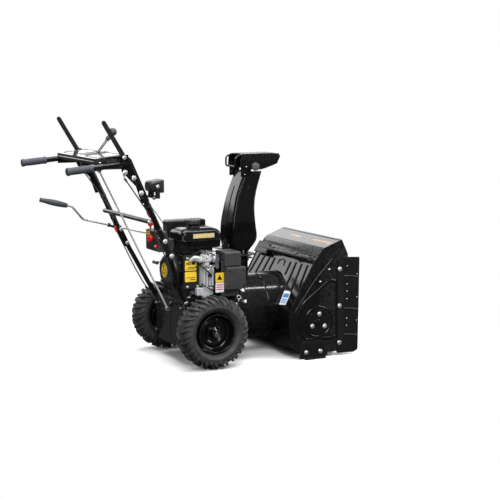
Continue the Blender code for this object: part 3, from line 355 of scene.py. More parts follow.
def slab(bm, outline, place, thickness):
    """A flat plate: (u, v) outline, place maps (u, v, height) to a point."""
    ring_loft(bm, [[place(u, v, h) for u, v in outline] for h in (0.0, thickness)])


def sweep(bm, points, radius, sides=12, closed=False):
    """A round tube along points; radius is a number or one for each point."""
    pts = [Vector(p) for p in points]
    radii = radius if isinstance(radius, (list, tuple)) else [radius] * len(pts)
    side = None
    rings = []
    for i, p in enumerate(pts):
        if closed:
            tangent = (pts[(i + 1) % len(pts)] - pts[i - 1]).normalized()
        else:
            tangent = (pts[min(i + 1, len(pts) - 1)] - pts[max(i - 1, 0)]).normalized()
        if side is None:
            side = axes_for(tangent)[0]
        side = (side - tangent * side.dot(tangent)).normalized()
        other = tangent.cross(side)
        rings.append([p + (side * cos(2 * pi * k / sides) + other * sin(2 * pi * k / sides))
                      * radii[i] for k in range(sides)])
    ring_loft(bm, rings, closed)


def curve_points(points, per_span=6):
    """A smooth curve through the given points (Catmull-Rom)."""
    pts = [Vector(p) for p in points]
    pts = [2 * pts[0] - pts[1]] + pts + [2 * pts[-1] - pts[-2]]
    route = []
    for i in range(1, len(pts) - 2):
        p0, p1, p2, p3 = pts[i - 1:i + 3]
        for k in range(per_span):
            t = k / per_span
            route.append(0.5 * (2 * p1 + (p2 - p0) * t + (2 * p0 - 5 * p1 + 4 * p2 - p3) * t * t
                                + (3 * p1 - p0 - 3 * p2 + p3) * t ** 3))
    route.append(pts[-2])
    return route


def bent_points(points, radius, steps=8):
    """A route with each inner corner rounded."""
    pts = [Vector(p) for p in points]
    route = [pts[0]]
    for before, corner, after in zip(pts, pts[1:], pts[2:]):
        a, b = (before - corner).normalized(), (after - corner).normalized()
        half = a.angle(b) / 2
        reach = min(radius / (sin(half) / cos(half)), (before - corner).length * 0.48,
                    (after - corner).length * 0.48)
        start, end = corner + a * reach, corner + b * reach
        for k in range(steps + 1):
            t = k / steps
            route.append((1 - t) ** 2 * start + 2 * t * (1 - t) * corner + t * t * end)
    route.append(pts[-1])
    return route


def arc(cx, cy, radius, start, end, steps=10):
    return [(cx + radius * cos(radians(start + (end - start) * k / steps)),
             cy + radius * sin(radians(start + (end - start) * k / steps)))
            for k in range(steps + 1)]


def round_rect(u0, v0, u1, v1, radius, steps=5):
    return (arc(u1 - radius, v1 - radius, radius, 0, 90, steps)
            + arc(u0 + radius, v1 - radius, radius, 90, 180, steps)
            + arc(u0 + radius, v0 + radius, radius, 180, 270, steps)
            + arc(u1 - radius, v0 + radius, radius, 270, 360, steps))


def on_plane(origin, u_axis, v_axis):
    """A function that maps (u, v, height) onto a plane; height is along u x v."""
    origin = Vector(origin)
    u_axis, v_axis = Vector(u_axis).normalized(), Vector(v_axis).normalized()
    normal = u_axis.cross(v_axis)
    return lambda u, v, h: origin + u_axis * u + v_axis * v + normal * h


def facing_x(x, way=1):
    """Maps (y, z, height) onto a plane at x; way turns or scales the height."""
    return lambda u, v, h: (x + way * h, u, v)


def facing_y(y, way=1):
    return lambda u, v, h: (u, y + way * h, v)


def facing_z(z, way=1):
    return lambda u, v, h: (u, v, z + way * h)


def disc(bm, at, axis, radius, height, steps=18):
    lathe(bm, [(0, 0), (0, radius), (height, radius), (height, 0)], at, axis, steps)


def ball_half(radius, angles):
    """Lathe points of a ball at the given degrees above its middle."""
    return [(radius * sin(radians(t)), radius * cos(radians(t))) for t in angles]


def bolt(bm, at, axis, radius=0.006, head=None, washer=True):
    """A hexagon head with a chamfer, on a washer unless told otherwise."""
    at, axis = Vector(at), Vector(axis).normalized()
    head = head or radius * 0.62
    base = 0.0
    if washer:
        lathe(bm, [(0, 0), (0, radius * 1.45), (radius * 0.16, radius * 1.45),
                   (radius * 0.22, radius * 1.36), (radius * 0.22, 0)], at, axis, 20)
        base = radius * 0.2
    lathe(bm, [(base, 0), (base, radius), (base + head * 0.82, radius),
               (base + head, radius * 0.86), (base + head, 0)], at, axis, 6)


def dome(bm, at, axis, radius=0.006, height=None):
    """A carriage bolt's or rivet's round head."""
    height = height or radius * 0.55
    profile = [(0.0, 0.0), (0.0, radius)]
    profile += [(height * sin(radians(a)), radius * cos(radians(a))) for a in (20, 40, 60, 78)]
    lathe(bm, profile + [(height, 0.0)], at, axis, 16)


# ------------------------------------------------------------- CAD nodes kept

# material, edge width and the CAD nodes that have them; every other node is dark plastic
KEPT_ROWS = (
    (PAINT, 0.0012, "tractor_frame"),
    (PAINT, 0.0006, "bottom_cover impeller_drum upper_handle_right upper_handle_left "
                    "lower_handle_right lower_handle_left dash_panel deflector"),
    (PAINT, 0.0008, "auger_housing cross_brace"),
    (SATIN, 0.0005, "impeller"),
    (ZINC, 0.0008, "scraper_bar"),
    (ZINC, 0.0006, "axle"),
    (SPROCKET, 0.0006, "hex_shaft engine_pulley impeller_pulley"),
    (PLATED, 0.0006, "shift_rod"),
    (ALLOY, 0.0006, "friction_disc"),
    (ALLOY, 0.001, "auger_gearbox"),
    (CABLE, 0.0006, "friction_wheel auger_belt"),
    (DARK_PLASTIC, 0.0, "belt_cover"),
    (SATIN, 0.0007, "skid_right skid_left"),
    (SATIN, 0.0006, "drift_cutter_right drift_cutter_left shift_arm"),
    (SATIN, 0.0009, "clutch_lever_right clutch_lever_left"),
)
KEPT = {node: (material, width) for material, width, nodes in KEPT_ROWS for node in nodes.split()}
PLAIN_LOOK = (DARK_PLASTIC, 0.0006)


def keep_cad_nodes():
    """Finish every CAD node that no piece stands for."""
    for node in NODES:
        if node not in STOOD_FOR:
            material, width = KEPT.get(node, PLAIN_LOOK)
            finish_node(node, material, width)


# ----------------------------------------------------------------------- wheels

BEAD_RADIUS = 0.0875
LUG_PITCHES = 18


def tyre(side, sign):
    """A carcass with bead and shoulder rings, and two rows of chevron lugs."""
    node = f"tyre_{side}"
    centre = middle(node)
    outer = (high(node).z - low(node).z) / 2
    half_width = (high(node).x - low(node).x) / 2
    wide, crown, waist = half_width - 0.0025, outer - 0.0125, 0.119

    def section(t, lift=0.0):
        """(across, radius) at t degrees: 0 on the outer sidewall, 90 on the crown."""
        a = radians(t)
        c, s = cos(a), sin(a)
        across = wide * (abs(c) ** 0.72) * (1 if c >= 0 else -1) + lift * c * 0.35
        if s >= 0:
            radius = waist + (crown - waist) * s ** 0.62
        else:
            radius = waist + (waist - BEAD_RADIUS) * s
            across *= 1 - 0.2 * s * s
        return across, radius + lift * max(0.0, s) ** 0.5

    def point(turn, t, lift=0.0):
        across, radius = section(t, lift)
        return Vector((centre.x + sign * across, centre.y + radius * sin(turn),
                       centre.z + radius * cos(turn)))

    @piece(f"{node}_lugged", TYRE, 0.001, body="wheels", node=node, angle=42)
    def lugged(bm):
        steps = 96
        stations = [-90, -72, -60, -52, -50, -46, -42, -30, -16, -8, -6, -2, 2, 14, 26, 36, 46, 58,
                    72, 90]
        raised = {-50: 0.0016, -46: 0.0016, -6: 0.0012, -2: 0.0012}
        ring = [(t, raised.get(t, 0.0)) for t in stations]
        ring += [(180 - t, lift) for t, lift in reversed(ring[1:-1])]
        rings = []
        for k in range(steps):
            turn = 2 * pi * k / steps
            row = []
            for t, lift in ring:
                p = point(turn, t)
                outward = Vector((sign * lift * (1 if cos(radians(t)) >= 0 else -1), 0, 0))
                row.append(p + outward)
            rings.append(row)
        ring_loft(bm, rings, closed=True)
        pitch = 2 * pi / LUG_PITCHES
        for k in range(LUG_PITCHES):
            for row, mirror in ((0, False), (1, True)):
                start = pitch * (k + 0.5 * row)
                for t0, t1, u0, u1, w0, w1, h in ((94, 16, 0.1, -0.055, 0.066, 0.092, 0.0125),
                                                  (58, 4, 0.075 + pitch / 2, pitch / 2 - 0.05,
                                                   0.044, 0.07, 0.0125)):
                    rings = []
                    for i in range(7):
                        f = i / 6
                        t = t0 + (t1 - t0) * f
                        u = start + u0 + (u1 - u0) * f
                        w = (w0 + (w1 - w0) * f) / 2
                        high_at = h if f < 0.9 else h * 0.55
                        at = 180 - t if mirror else t
                        rings.append([point(u - w, at, -0.003), point(u + w, at, -0.003),
                                      point(u + w * 0.78, at, high_at),
                                      point(u - w * 0.78, at, high_at)])
                    ring_loft(bm, rings)


def rim(side, sign):
    """A pressed steel rim: rolled edges, a stepped dish and a long hub tube."""
    node = f"rim_{side}"
    centre = middle(node)
    outer = [(0.0478, 0.0866), (0.049, 0.0852), (0.0488, 0.0834), (0.047, 0.082),
             (0.043, 0.0806), (0.026, 0.0768), (0.021, 0.0752), (0.0168, 0.0722),
             (0.014, 0.068), (0.0128, 0.0645), (0.015, 0.0605), (0.0172, 0.056),
             (0.0176, 0.05), (0.016, 0.045), (0.0124, 0.041), (0.0112, 0.035),
             (0.0112, 0.027), (0.0128, 0.0232), (0.018, 0.0214), (0.03, 0.0206),
             (0.0455, 0.0204), (0.047, 0.0192), (0.047, 0.0104), (-0.046, 0.01)]
    inner = [(-0.046, 0.019), (0.005, 0.0206), (0.008, 0.026), (0.008, 0.04),
             (0.012, 0.046), (0.014, 0.052), (0.011, 0.062), (0.006, 0.07),
             (-0.006, 0.0748), (-0.04, 0.08), (-0.047, 0.082), (-0.0488, 0.0834),
             (-0.049, 0.0852), (-0.0478, 0.0866), (-0.044, 0.085), (0.044, 0.085)]

    @piece(f"{node}_pressed", PAINT, body="wheels", node=node)
    def pressed(bm):
        lathe(bm, outer + inner, centre, X * sign, 64, closed=True)
        for k in range(4):
            a = k * pi / 2 + pi / 4
            at = centre + X * sign * 0.013 + (Y * cos(a) + Z * sin(a)) * 0.033
            lathe(bm, [(-0.002, 0.0062), (0.0012, 0.0062), (0.0022, 0.005), (0.0022, 0.0034),
                       (-0.002, 0.0034)], at, X * sign, 20, closed=True)

    @piece(f"valve_{side}", CABLE, body="wheels")
    def valve(bm):
        lathe(bm, [(-0.004, 0), (-0.004, 0.005), (0.006, 0.0042), (0.016, 0.003), (0.022, 0.0036),
                   (0.028, 0.0036), (0.029, 0)], centre + X * sign * 0.02 + Z * 0.07,
              X * sign - Z * 0.25, 16)


def hub_pin(side, sign):
    """A click pin through the hub and axle, its spring loop over the hub's end."""
    centre = middle(f"rim_{side}")
    lean = (Z * 0.92 + Y * 0.39).normalized()

    def at(up, out):
        return centre + lean * up + X * sign * out

    loop = bent_points([at(0.0285, 0.0395), at(0.0285, 0.0525), at(0.02, 0.056),
                        at(-0.02, 0.056), at(-0.03, 0.051), at(-0.0295, 0.0385)], 0.007, 6)

    @piece(f"hub_pin_{side}", CHROME, body="wheels")
    def make(bm):
        sweep(bm, [at(-0.031, 0.0395), at(0.024, 0.0395)], 0.0036, 14)
        lathe(bm, [(0, 0), (0, 0.0062), (0.006, 0.0062), (0.007, 0.005), (0.007, 0)],
              at(0.0235, 0.0395), lean, 18)
        sweep(bm, loop, 0.0016, 10)


def wheels():
    for side, sign in SIDES:
        tyre(side, sign)
        rim(side, sign)
        hub_pin(side, sign)


# --------------------------------------------------- pressed and flat sheet work

def rounded(outline, radius, steps=5):
    """A closed (u, v) outline with its corners rounded; radius may be one per corner."""
    radii = radius if isinstance(radius, (list, tuple)) else [radius] * len(outline)
    pts = [Vector((u, v)) for u, v in outline]
    result = []
    for i, corner in enumerate(pts):
        before, after = pts[i - 1], pts[(i + 1) % len(pts)]
        a, b = (before - corner).normalized(), (after - corner).normalized()
        half = a.angle(b) / 2
        reach = min(radii[i] / (sin(half) / cos(half)), (before - corner).length * 0.49,
                    (after - corner).length * 0.49)
        for k in range(steps + 1):
            t = k / steps
            p = ((1 - t) ** 2 * (corner + a * reach) + 2 * t * (1 - t) * corner
                 + t * t * (corner + b * reach))
            result.append((p.x, p.y))
    return result


def bead(bm, points, normal, half, height, closed=False):
    """A low pressed ridge along points that lie on a sheet."""
    normal = Vector(normal).normalized()
    pts = [Vector(p) for p in points]
    rings = []
    for i, p in enumerate(pts):
        if closed:
            along = pts[(i + 1) % len(pts)] - pts[i - 1]
        else:
            along = pts[min(i + 1, len(pts) - 1)] - pts[max(i - 1, 0)]
        across = normal.cross(along).normalized()
        low_line = normal * -0.0006
        rings.append([p - across * half + low_line,
                      p - across * half * 0.62 + normal * height * 0.6,
                      p - across * half * 0.2 + normal * height, p + across * half * 0.2
                      + normal * height, p + across * half * 0.62 + normal * height * 0.6,
                      p + across * half + low_line])
    ring_loft(bm, rings, closed)


# ------------------------------------------------------------------ auger housing

JOURNAL = Vector((0.0, -0.498, 0.166))
PLATE_CENTRE_Y, PLATE_CENTRE_Z = JOURNAL.y - 0.006, 0.168
IMPELLER_AXIS = Vector((0, 0, 0.221))
PLATE_OUTSIDE, PLATE_INSIDE, CUTTER_FACE = 0.2801, 0.2764, 0.2834
SKID_BOLTS_Y = (-0.437, -0.513)
CUTTER_BOLT_Y = -0.613
CUTTER_BOLTS_Z = (0.409, 0.236, 0.062)
BACK_TOP, BACK_FOOT = Vector((0, -0.483, 0.451)), Vector((0, -0.368, 0.245))
TOP_FRONT, TOP_REAR = Vector((0, -0.628, 0.5445)), Vector((0, -0.527, 0.508))


def sheet_plane(top, foot, lift=0.0016):
    """(x, distance down, height) on the outer face of a sloping sheet."""
    down = (foot - top).normalized()
    normal = X.cross(down)
    return on_plane(top + normal * lift, X, down), normal, (foot - top).length


def side_plates():
    tear = rounded([(-0.6, 0.088), (-0.6, 0.356), (-0.562, 0.356), (-0.428, 0.262),
                    (-0.396, 0.205), (-0.404, 0.128), (-0.44, 0.088)],
                   [0.022, 0.03, 0.03, 0.05, 0.04, 0.04, 0.022])
    ring, dish = (arc(PLATE_CENTRE_Y, PLATE_CENTRE_Z, radius, 0, 360, 40)[:-1]
                  for radius in (0.07, 0.056))
    for side, sign in SIDES:
        face = sign * PLATE_OUTSIDE
        out = X * sign

        def at(y, z, lift=0.0):
            return Vector((face + sign * lift, y, z))

        @piece(f"housing_pressing_{side}", PAINT, 0.0003)
        def pressed(bm):
            bead(bm, [at(y, z) for y, z in tear], out, 0.0075, 0.003, True)
            bead(bm, [at(y, z) for y, z in ring], out, 0.0065, 0.0028, True)
            bead(bm, [at(-0.575, 0.458), at(-0.48, 0.36), at(-0.378, 0.222)], out, 0.0035, 0.0018)
            bead(bm, [at(-0.52, 0.5), at(-0.476, 0.444), at(-0.372, 0.262)], out, 0.0028, 0.0012)
            bead(bm, [at(-0.396, 0.112), at(-0.42, 0.06), at(-0.452, 0.04)], out, 0.004, 0.002)
            slab(bm, dish, lambda u, v, h: at(u, v, h - 0.0005), 0.0024)
            lathe(bm, [(0, 0.0), (0, 0.016), (0.003, 0.016), (0.005, 0.013), (0.005, 0.0)],
                  at(JOURNAL.y, JOURNAL.z, 0.0018), out, 28)

        @piece(f"cutter_strap_{side}", SATIN, 0.0004)
        def strap(bm):
            outline = rounded([(-0.634, 0.036), (-0.634, 0.452), (-0.604, 0.452), (-0.604, 0.036)],
                              0.007)
            slab(bm, outline, facing_x(sign * CUTTER_FACE, sign), 0.0018)
            for z in (0.374, 0.2205, 0.097):
                bead(bm, [(sign * CUTTER_FACE, y, z + (y + 0.64) * 0.12)
                          for y in (-0.637, -0.66, -0.69, -0.712)], out, 0.0055, 0.0026)

        @piece(f"cutter_rivets_{side}", ZINC)
        def cutter_rivets(bm):
            for z in (0.335, 0.301, 0.265, 0.173, 0.139, 0.42):
                dome(bm, (sign * 0.2833, -0.654, z), out, 0.003)

        @piece(f"housing_bolts_{side}", ZINC, 0.0003)
        def fasteners(bm):
            for z in CUTTER_BOLTS_Z:
                bolt(bm, (sign * 0.2852, CUTTER_BOLT_Y, z), out, 0.0078, 0.005)
            for k in range(3):
                a = radians(90 + 120 * k + 4)
                bolt(bm, at(PLATE_CENTRE_Y + 0.038 * cos(a), PLATE_CENTRE_Z + 0.038 * sin(a),
                            0.0019), out,
                     0.0076, 0.0048)
            for y, z in ((-0.56, 0.41), (-0.512, 0.356)):
                dome(bm, at(y, z), out, 0.0048)
            for y in SKID_BOLTS_Y:
                bolt(bm, (sign * 0.2843, y, 0.031), out, 0.0074, 0.0048)


def housing_back():
    back, back_normal, _ = sheet_plane(BACK_TOP, BACK_FOOT)
    top, top_normal, top_length = sheet_plane(TOP_FRONT, TOP_REAR)
    bend, _, bend_length = sheet_plane(TOP_REAR, BACK_TOP)

    @piece("housing_back_pressing", PAINT, 0.0003)
    def pressings(bm):
        for x, start, end in ((-0.236, 0.026, 0.15), (-0.182, 0.026, 0.168), (-0.128, 0.026, 0.136),
                              (-0.078, 0.03, 0.096), (0.078, 0.03, 0.096), (0.128, 0.026, 0.136),
                              (0.182, 0.026, 0.19), (0.236, 0.026, 0.2)):
            lean = 0.1 * x
            pts = [back(x + lean * (d - start) / 0.15, d, 0) for d in
                   [start + (end - start) * k / 6 for k in range(7)]]
            bead(bm, pts, back_normal, 0.011, 0.0042)
        hook = [(-0.03, 0.03), (-0.03, 0.052)] + arc(0, 0.056, 0.03, 180, 0, 10) \
            + [(0.03, 0.052), (0.03, 0.03)]
        hook = [(u, 0.112 - v if 0.0535 < v else v) for u, v in hook]
        bead(bm, [back(u, v, 0) for u, v in hook], back_normal, 0.0045, 0.0026)
        bead(bm, [top(x, 0.01, 0) for x in (-0.268, -0.13, 0.0, 0.13, 0.268)], top_normal, 0.005,
             0.002)
        bead(bm, [top(x, top_length - 0.006, 0) for x in (-0.268, -0.13, 0, 0.13, 0.268)],
             top_normal,
             0.004, 0.0014)

    def tab_row(bm, half, start, end, corner, lift, thickness):
        for k in range(9):
            x = -0.25 + 0.058 * k
            slab(bm, rounded([(x - half, bend_length - start), (x + half, bend_length - start),
                              (x + half, bend_length - end), (x - half, bend_length - end)],
                              corner),
                 lambda u, v, h: bend(u, v, h + lift), thickness)

    @piece("housing_tabs", PAINT, 0.0004)
    def tabs(bm):
        tab_row(bm, 0.007, 0.024, 0.004, 0.0045, -0.0006, 0.0026)

    # thin dark sheets on the tabs: painted shade standing in for the slot openings
    @piece("housing_tab_slot_shade", CABLE)
    def slot_shade(bm):
        tab_row(bm, 0.0032, 0.02, 0.008, 0.003, 0.0018, 0.0004)

    @piece("housing_decals", ORANGE)
    def decals(bm):
        for start, count in ((-0.262, 7), (0.022, 4)):
            for k in range(count):
                x = start + 0.024 * k
                slab(bm, [(x, 0.045), (x + 0.017, 0.045), (x + 0.023, 0.061), (x + 0.006, 0.061)],
                     lambda u, v, h: top(u, v, h - 0.0001), 0.0003)

    @piece("housing_label", WHITE)
    def label(bm):
        slab(bm, rounded([(-0.203, 0.163), (-0.143, 0.171), (-0.155, 0.241), (-0.211, 0.233)],
                         0.003),
             lambda u, v, h: back(u, v, h - 0.0001), 0.0004)

    @piece("housing_label_ink", BLUE)
    def label_ink(bm):
        for v0, v1 in ((0.179, 0.199), (0.205, 0.21), (0.214, 0.219), (0.223, 0.227)):
            shift = (v0 - 0.163) * -0.14
            slab(bm, [(-0.199 + shift, v0), (-0.151 + shift, v0 + 0.004),
                      (-0.152 + shift, v1 + 0.004), (-0.2 + shift, v1)],
                 lambda u, v, h: back(u, v, h + 0.0003), 0.0003)


def drum_details():
    centre = IMPELLER_AXIS

    @piece("drum_hoops", PAINT, 0.0002)
    def hoops(bm):
        for y, half in ((-0.176, 0.006), (-0.312, 0.0035)):
            profile = [(y - half, 0.1542), (y - half * 0.6, 0.1566), (y, 0.1574),
                       (y + half * 0.6, 0.1566),
                       (y + half, 0.1542), (y, 0.1535)]
            lathe(bm, profile, centre, Y, 72, closed=True)

    @piece("drum_bolts", ZINC, 0.0003)
    def fasteners(bm):
        for a in (18, 58, 98, 142):
            for way in (-1, 1):
                out = Vector((way * cos(radians(a)), 0, sin(radians(a))))
                bolt(bm, centre + Y * -0.19 + out * 0.1548, out, 0.0056)


def housing():
    side_plates()
    housing_back()
    drum_details()


# ---------------------------------------------------------------- chute and crank

CHUTE_Y = -0.218
CHUTE_FLOOR_Z = 0.4693
CHUTE_LEVELS = ((0.4745, 0.05, -0.2384, -0.1675, 0.031), (0.505, 0.06, -0.262, -0.166, 0.024),
                (0.55, 0.071, -0.286, -0.165, 0.02), (0.62, 0.0715, -0.279, -0.169, 0.018),
                (0.69, 0.067, -0.276, -0.182, 0.017), (0.76, 0.061, -0.287, -0.2, 0.016),
                (0.858, 0.0575, -0.318, -0.238, 0.014))
EAR_X = 0.0595
CRANK_FRONT = Vector((0.0785, -0.335, 0.447))
CRANK_EYE = Vector((0.2975, 0.3, 0.603))
CRANK_ALONG = (CRANK_EYE - CRANK_FRONT).normalized()


def chute_rows(per_span=6):
    """(z, half width, front, rear, corner) along the chute, drawn smoothly."""
    rows = [Vector(row[:3]) for row in CHUTE_LEVELS], [Vector((*row[3:],
                                                               0)) for row in CHUTE_LEVELS]
    first, second = (curve_points(part, per_span) for part in rows)
    return [(a.x, a.y, a.z, b.x, b.y) for a, b in zip(first, second)]


def gear_outline(teeth, root, tip):
    points = []
    for k in range(teeth):
        for share, radius in ((0.0, root), (0.3, root), (0.42, tip), (0.78, tip), (0.9, root)):
            a = 2 * pi * (k + share) / teeth
            points.append((radius * cos(a), radius * sin(a)))
    return points


def chute():
    def channel(bm):
        rows = []
        for z, w, front, rear, corner in chute_rows():
            half = [(w, front + (rear - corner - front) * t) for t in (0, 0.12, 0.35, 0.7)]
            half += arc(w - corner, rear - corner, corner, 0, 90, 7)
            half += [((w - corner) * 0.5, rear)]
            outline = half + [(-x, y) for x, y in reversed(half)]
            rows.append([bm.verts.new((x, y, z)) for x, y in outline])
        for a, b in zip(rows, rows[1:]):
            for k in range(len(a) - 1):
                bm.faces.new((a[k], a[k + 1], b[k + 1], b[k]))

    shell = bm_object("chute_shell", PAINT, channel)
    thicken = shell.modifiers.new("sheet", "SOLIDIFY")
    thicken.thickness = 0.003
    thicken.offset = 0.0
    soften(shell, 0.0)
    seat("chute_channel", shell, "chute", "chute")

    @piece("chute_trim", PAINT, 0.0003, body="chute")
    def trim(bm):
        rows = chute_rows()
        for sign in (-1, 1):
            sweep(bm, [(sign * w, front, z) for z, w, front, _, _ in rows[2:]], 0.0031, 12)
        z, w, front, rear, corner = rows[-1]
        half = [(w, front)] + arc(w - corner, rear - corner, corner, 0, 90, 7)
        rim_line = half + [(-x, y) for x, y in reversed(half)]
        sweep(bm, [(x, y, z - 0.001) for x, y in rim_line], 0.0026, 10)
        lathe(bm, [(0.0, 0.0522), (0.0117, 0.0522), (0.0117, 0.0548), (0.0085, 0.0565),
                   (0.004, 0.0565), (0.004, 0.07), (0.0052, 0.0712), (0.0052, 0.077),
                   (0.004, 0.0782), (0.004, 0.083), (0.0, 0.083)], (0, CHUTE_Y, CHUTE_FLOOR_Z), Z,
              72, closed=True)
        for sign in (-1, 1):
            outline = rounded([(-0.266, 0.835), (-0.214, 0.835), (-0.214, 0.902), (-0.262, 0.902)],
                              [0.002, 0.002, 0.012, 0.012])
            slab(bm, outline, facing_x(sign * (EAR_X - 0.003), sign), 0.006)

    @piece("chute_ring", SATIN, 0.0003, body="chute")
    def ring(bm):
        outer = gear_outline(48, 0.0853, 0.0895)
        inner = [(0.08 * cos(atan2(y, x)), 0.08 * sin(atan2(y, x))) for x, y in outer]
        rings = [[Vector((x, CHUTE_Y + y, CHUTE_FLOOR_Z + z)) for x, y in line]
                 for line, z in ((inner, 0.0003), (outer, 0.0003), (outer, 0.0037),
                                 (inner, 0.0037))]
        ring_loft(bm, rings, closed=True)

    @piece("chute_ribs", PAINT, 0.0002, body="chute")
    def ribs(bm):
        rows = chute_rows()[12:33]
        for sign in (-1, 1):
            bead(bm, [(sign * (w + 0.0014), front + (rear - front) * 0.46, z)
                      for z, w, front, rear, _ in rows], X * sign, 0.006, 0.0022)
        bead(bm, [(0, rear + 0.0014, z) for z, _, _, rear, _ in rows], Y, 0.007, 0.0024)

    @piece("chute_rivets", ZINC, body="chute")
    def rivets(bm):
        for sign in (-1, 1):
            z, w, front, _, _ = chute_rows()[3]
            dome(bm, (sign * (w + 0.001), front + 0.022, z), X * sign, 0.004)
            for y, z in ((-0.246, 0.8815), (-0.232, 0.846)):
                dome(bm, (sign * (EAR_X + 0.003), y, z), X * sign, 0.0028, 0.0016)
        for x in (-0.03, 0.03):
            dome(bm, (x, -0.1665 + 0.0012, 0.515), Y, 0.0042)


def deflector():
    """Hems, crown plate and pivots of the cap over the chute, and its fluted clamp knob."""
    half = high("deflector").x - 0.0002
    top_z = high("deflector").z

    @piece("deflector_hems", SATIN, 0.0001, body="deflector")
    def hems(bm):
        for sign in (-1, 1):
            lower = curve_points([(sign * half, -0.399, 0.893), (sign * half, -0.36, 0.8795),
                                  (sign * half, -0.316, 0.868), (sign * half, -0.262, 0.8695),
                                  (sign * half, -0.212, 0.88)], 5)
            bead(bm, [p + Vector((sign * -0.0001, 0, 0.0025)) for p in lower], X * sign, 0.0032,
                 0.0002)
            bead(bm, [(sign * (half - 0.0002), y, z) for y, z in
                      ((-0.235, 0.926), (-0.3, 0.925), (-0.36, 0.918), (-0.392, 0.908))], X * sign,
                 0.004, 0.0003)

    @piece("deflector_crown", SATIN, 0.0003, body="deflector")
    def crown(bm):
        slab(bm, rounded([(-half + 0.01, -0.4), (half - 0.01, -0.4), (half - 0.01, -0.232),
                          (-half + 0.01, -0.232)], 0.012),
             facing_z(top_z - 0.0006, 0.5), 0.001)

    @piece("deflector_pivots", ZINC, body="deflector")
    def pivots(bm):
        for sign in (-1, 1):
            bolt(bm, (sign * half, -0.238, 0.8815), X * sign * 0.5, 0.0036, 0.0012, washer=False)

    knob_low, knob_high = low("deflector_knob"), high("deflector_knob")
    centre = middle("deflector_knob")
    base = Vector((knob_high.x, centre.y, centre.z))
    depth = knob_high.x - knob_low.x

    @piece("deflector_knob_fluted", GREY_PLASTIC, 0.0003, body="deflector_knob",
           node="deflector_knob")
    def knob(bm):
        profile = ((0.0, 0.0095, 0), (0.0036, 0.0098, 0), (0.004, 0.0175, 1), (0.0052, 0.0196, 1),
                   (0.013, 0.0196, 1), (0.0155, 0.0182, 1), (0.0163, 0.015, 0.4),
                   (0.0158, 0.012, 0), (0.0164, 0.01, 0), (depth - 0.0002, 0.008, 0))
        rings = []
        for height, radius, lobe in profile:
            ring = []
            for k in range(84):
                a = 2 * pi * k / 84
                r = radius - lobe * 0.0016 * (0.5 + 0.5 * cos(7 * a)) ** 2.2
                ring.append(base - X * height + Y * r * cos(a) + Z * r * sin(a))
            rings.append(ring)
        ring_loft(bm, rings)


def crank():
    """The chute crank: a plated rod with a wire worm at its foot and a turned grip."""
    bend = CRANK_FRONT + CRANK_ALONG * ((CRANK_EYE - CRANK_FRONT).length + 0.124)
    throw = bend + Vector((-0.056, 0.072, 0.068))
    end = throw + CRANK_ALONG * 0.148
    side, other = axes_for(CRANK_ALONG)

    @piece("chute_crank_rod", PLATED, body="chute_crank", node="chute_crank")
    def body(bm):
        sweep(bm, bent_points([CRANK_FRONT, bend, throw, end], 0.022, 10), 0.005, 16)
        turns, start, length = 5.5, 0.098, 0.05
        helix = []
        for k in range(int(turns * 16) + 1):
            a = 2 * pi * k / 16
            at = CRANK_FRONT + CRANK_ALONG * (start + length * k / (turns * 16))
            helix.append(at + side * (0.0172 * cos(a)) + other * (0.0172 * sin(a)))
        sweep(bm, helix, 0.0032, 10)
        lathe(bm, [(0, 0), (0, 0.0145), (0.0035, 0.016), (0.0035, 0.0), ],
              CRANK_FRONT + CRANK_ALONG * 0.0955, CRANK_ALONG, 24)
        lathe(bm, [(0, 0), (0, 0.016), (0.0035, 0.0145), (0.0035, 0.0)],
              CRANK_FRONT + CRANK_ALONG * 0.146, CRANK_ALONG, 24)


    @piece("crank_grip_turned", GRIP, body="crank_grip", node="crank_grip")
    def grip(bm):
        profile = [(0.0, 0.0056), (0.0, 0.0092), (0.002, 0.0104)]
        for k in range(33):
            t = k / 32
            profile.append((0.004 + 0.121 * t, 0.0106 + 0.0038 * sin(pi * min(1.0, t * 1.15)) ** 0.8
                            - (0.0006 if k % 2 else 0.0)))
        profile += [(0.1275, 0.0108), (0.13, 0.0085), (0.13, 0.0056)]
        lathe(bm, profile, throw + CRANK_ALONG * 0.022, CRANK_ALONG, 40, closed=True)


# ----------------------------------------------------------------- engine pieces

def soft_box(bm, corner_a, corner_b, radius, corner=None, top=None):
    """A box with round upright corners and round top and bottom edges."""
    a, b = Vector(corner_a), Vector(corner_b)
    corner = corner or radius
    top = radius if top is None else top
    rows = []
    for edge, z0, way in ((radius, a.z, 1), (top, b.z, -1)):
        part = [(edge * (1 - sin(radians(t))), z0 + way * edge * (1 - cos(radians(t))))
                for t in (0, 22, 45, 68, 90)]
        rows += part if way == 1 else part[::-1]
    ring_loft(bm, [[(x, y, z) for x, y in
                    round_rect(a.x + inset, a.y + inset, b.x - inset, b.y - inset,
                               max(corner - inset, 0.0008), 6)] for inset, z in rows])


def helix(start, end, radius, turns, sides=12):
    start, end = Vector(start), Vector(end)
    u, v = axes_for(end - start)
    count = int(turns * sides)
    return [start + (end - start) * k / count + u * radius * cos(2 * pi * k / sides)
            + v * radius * sin(2 * pi * k / sides) for k in range(count + 1)]


TANK_STEP = 0.04


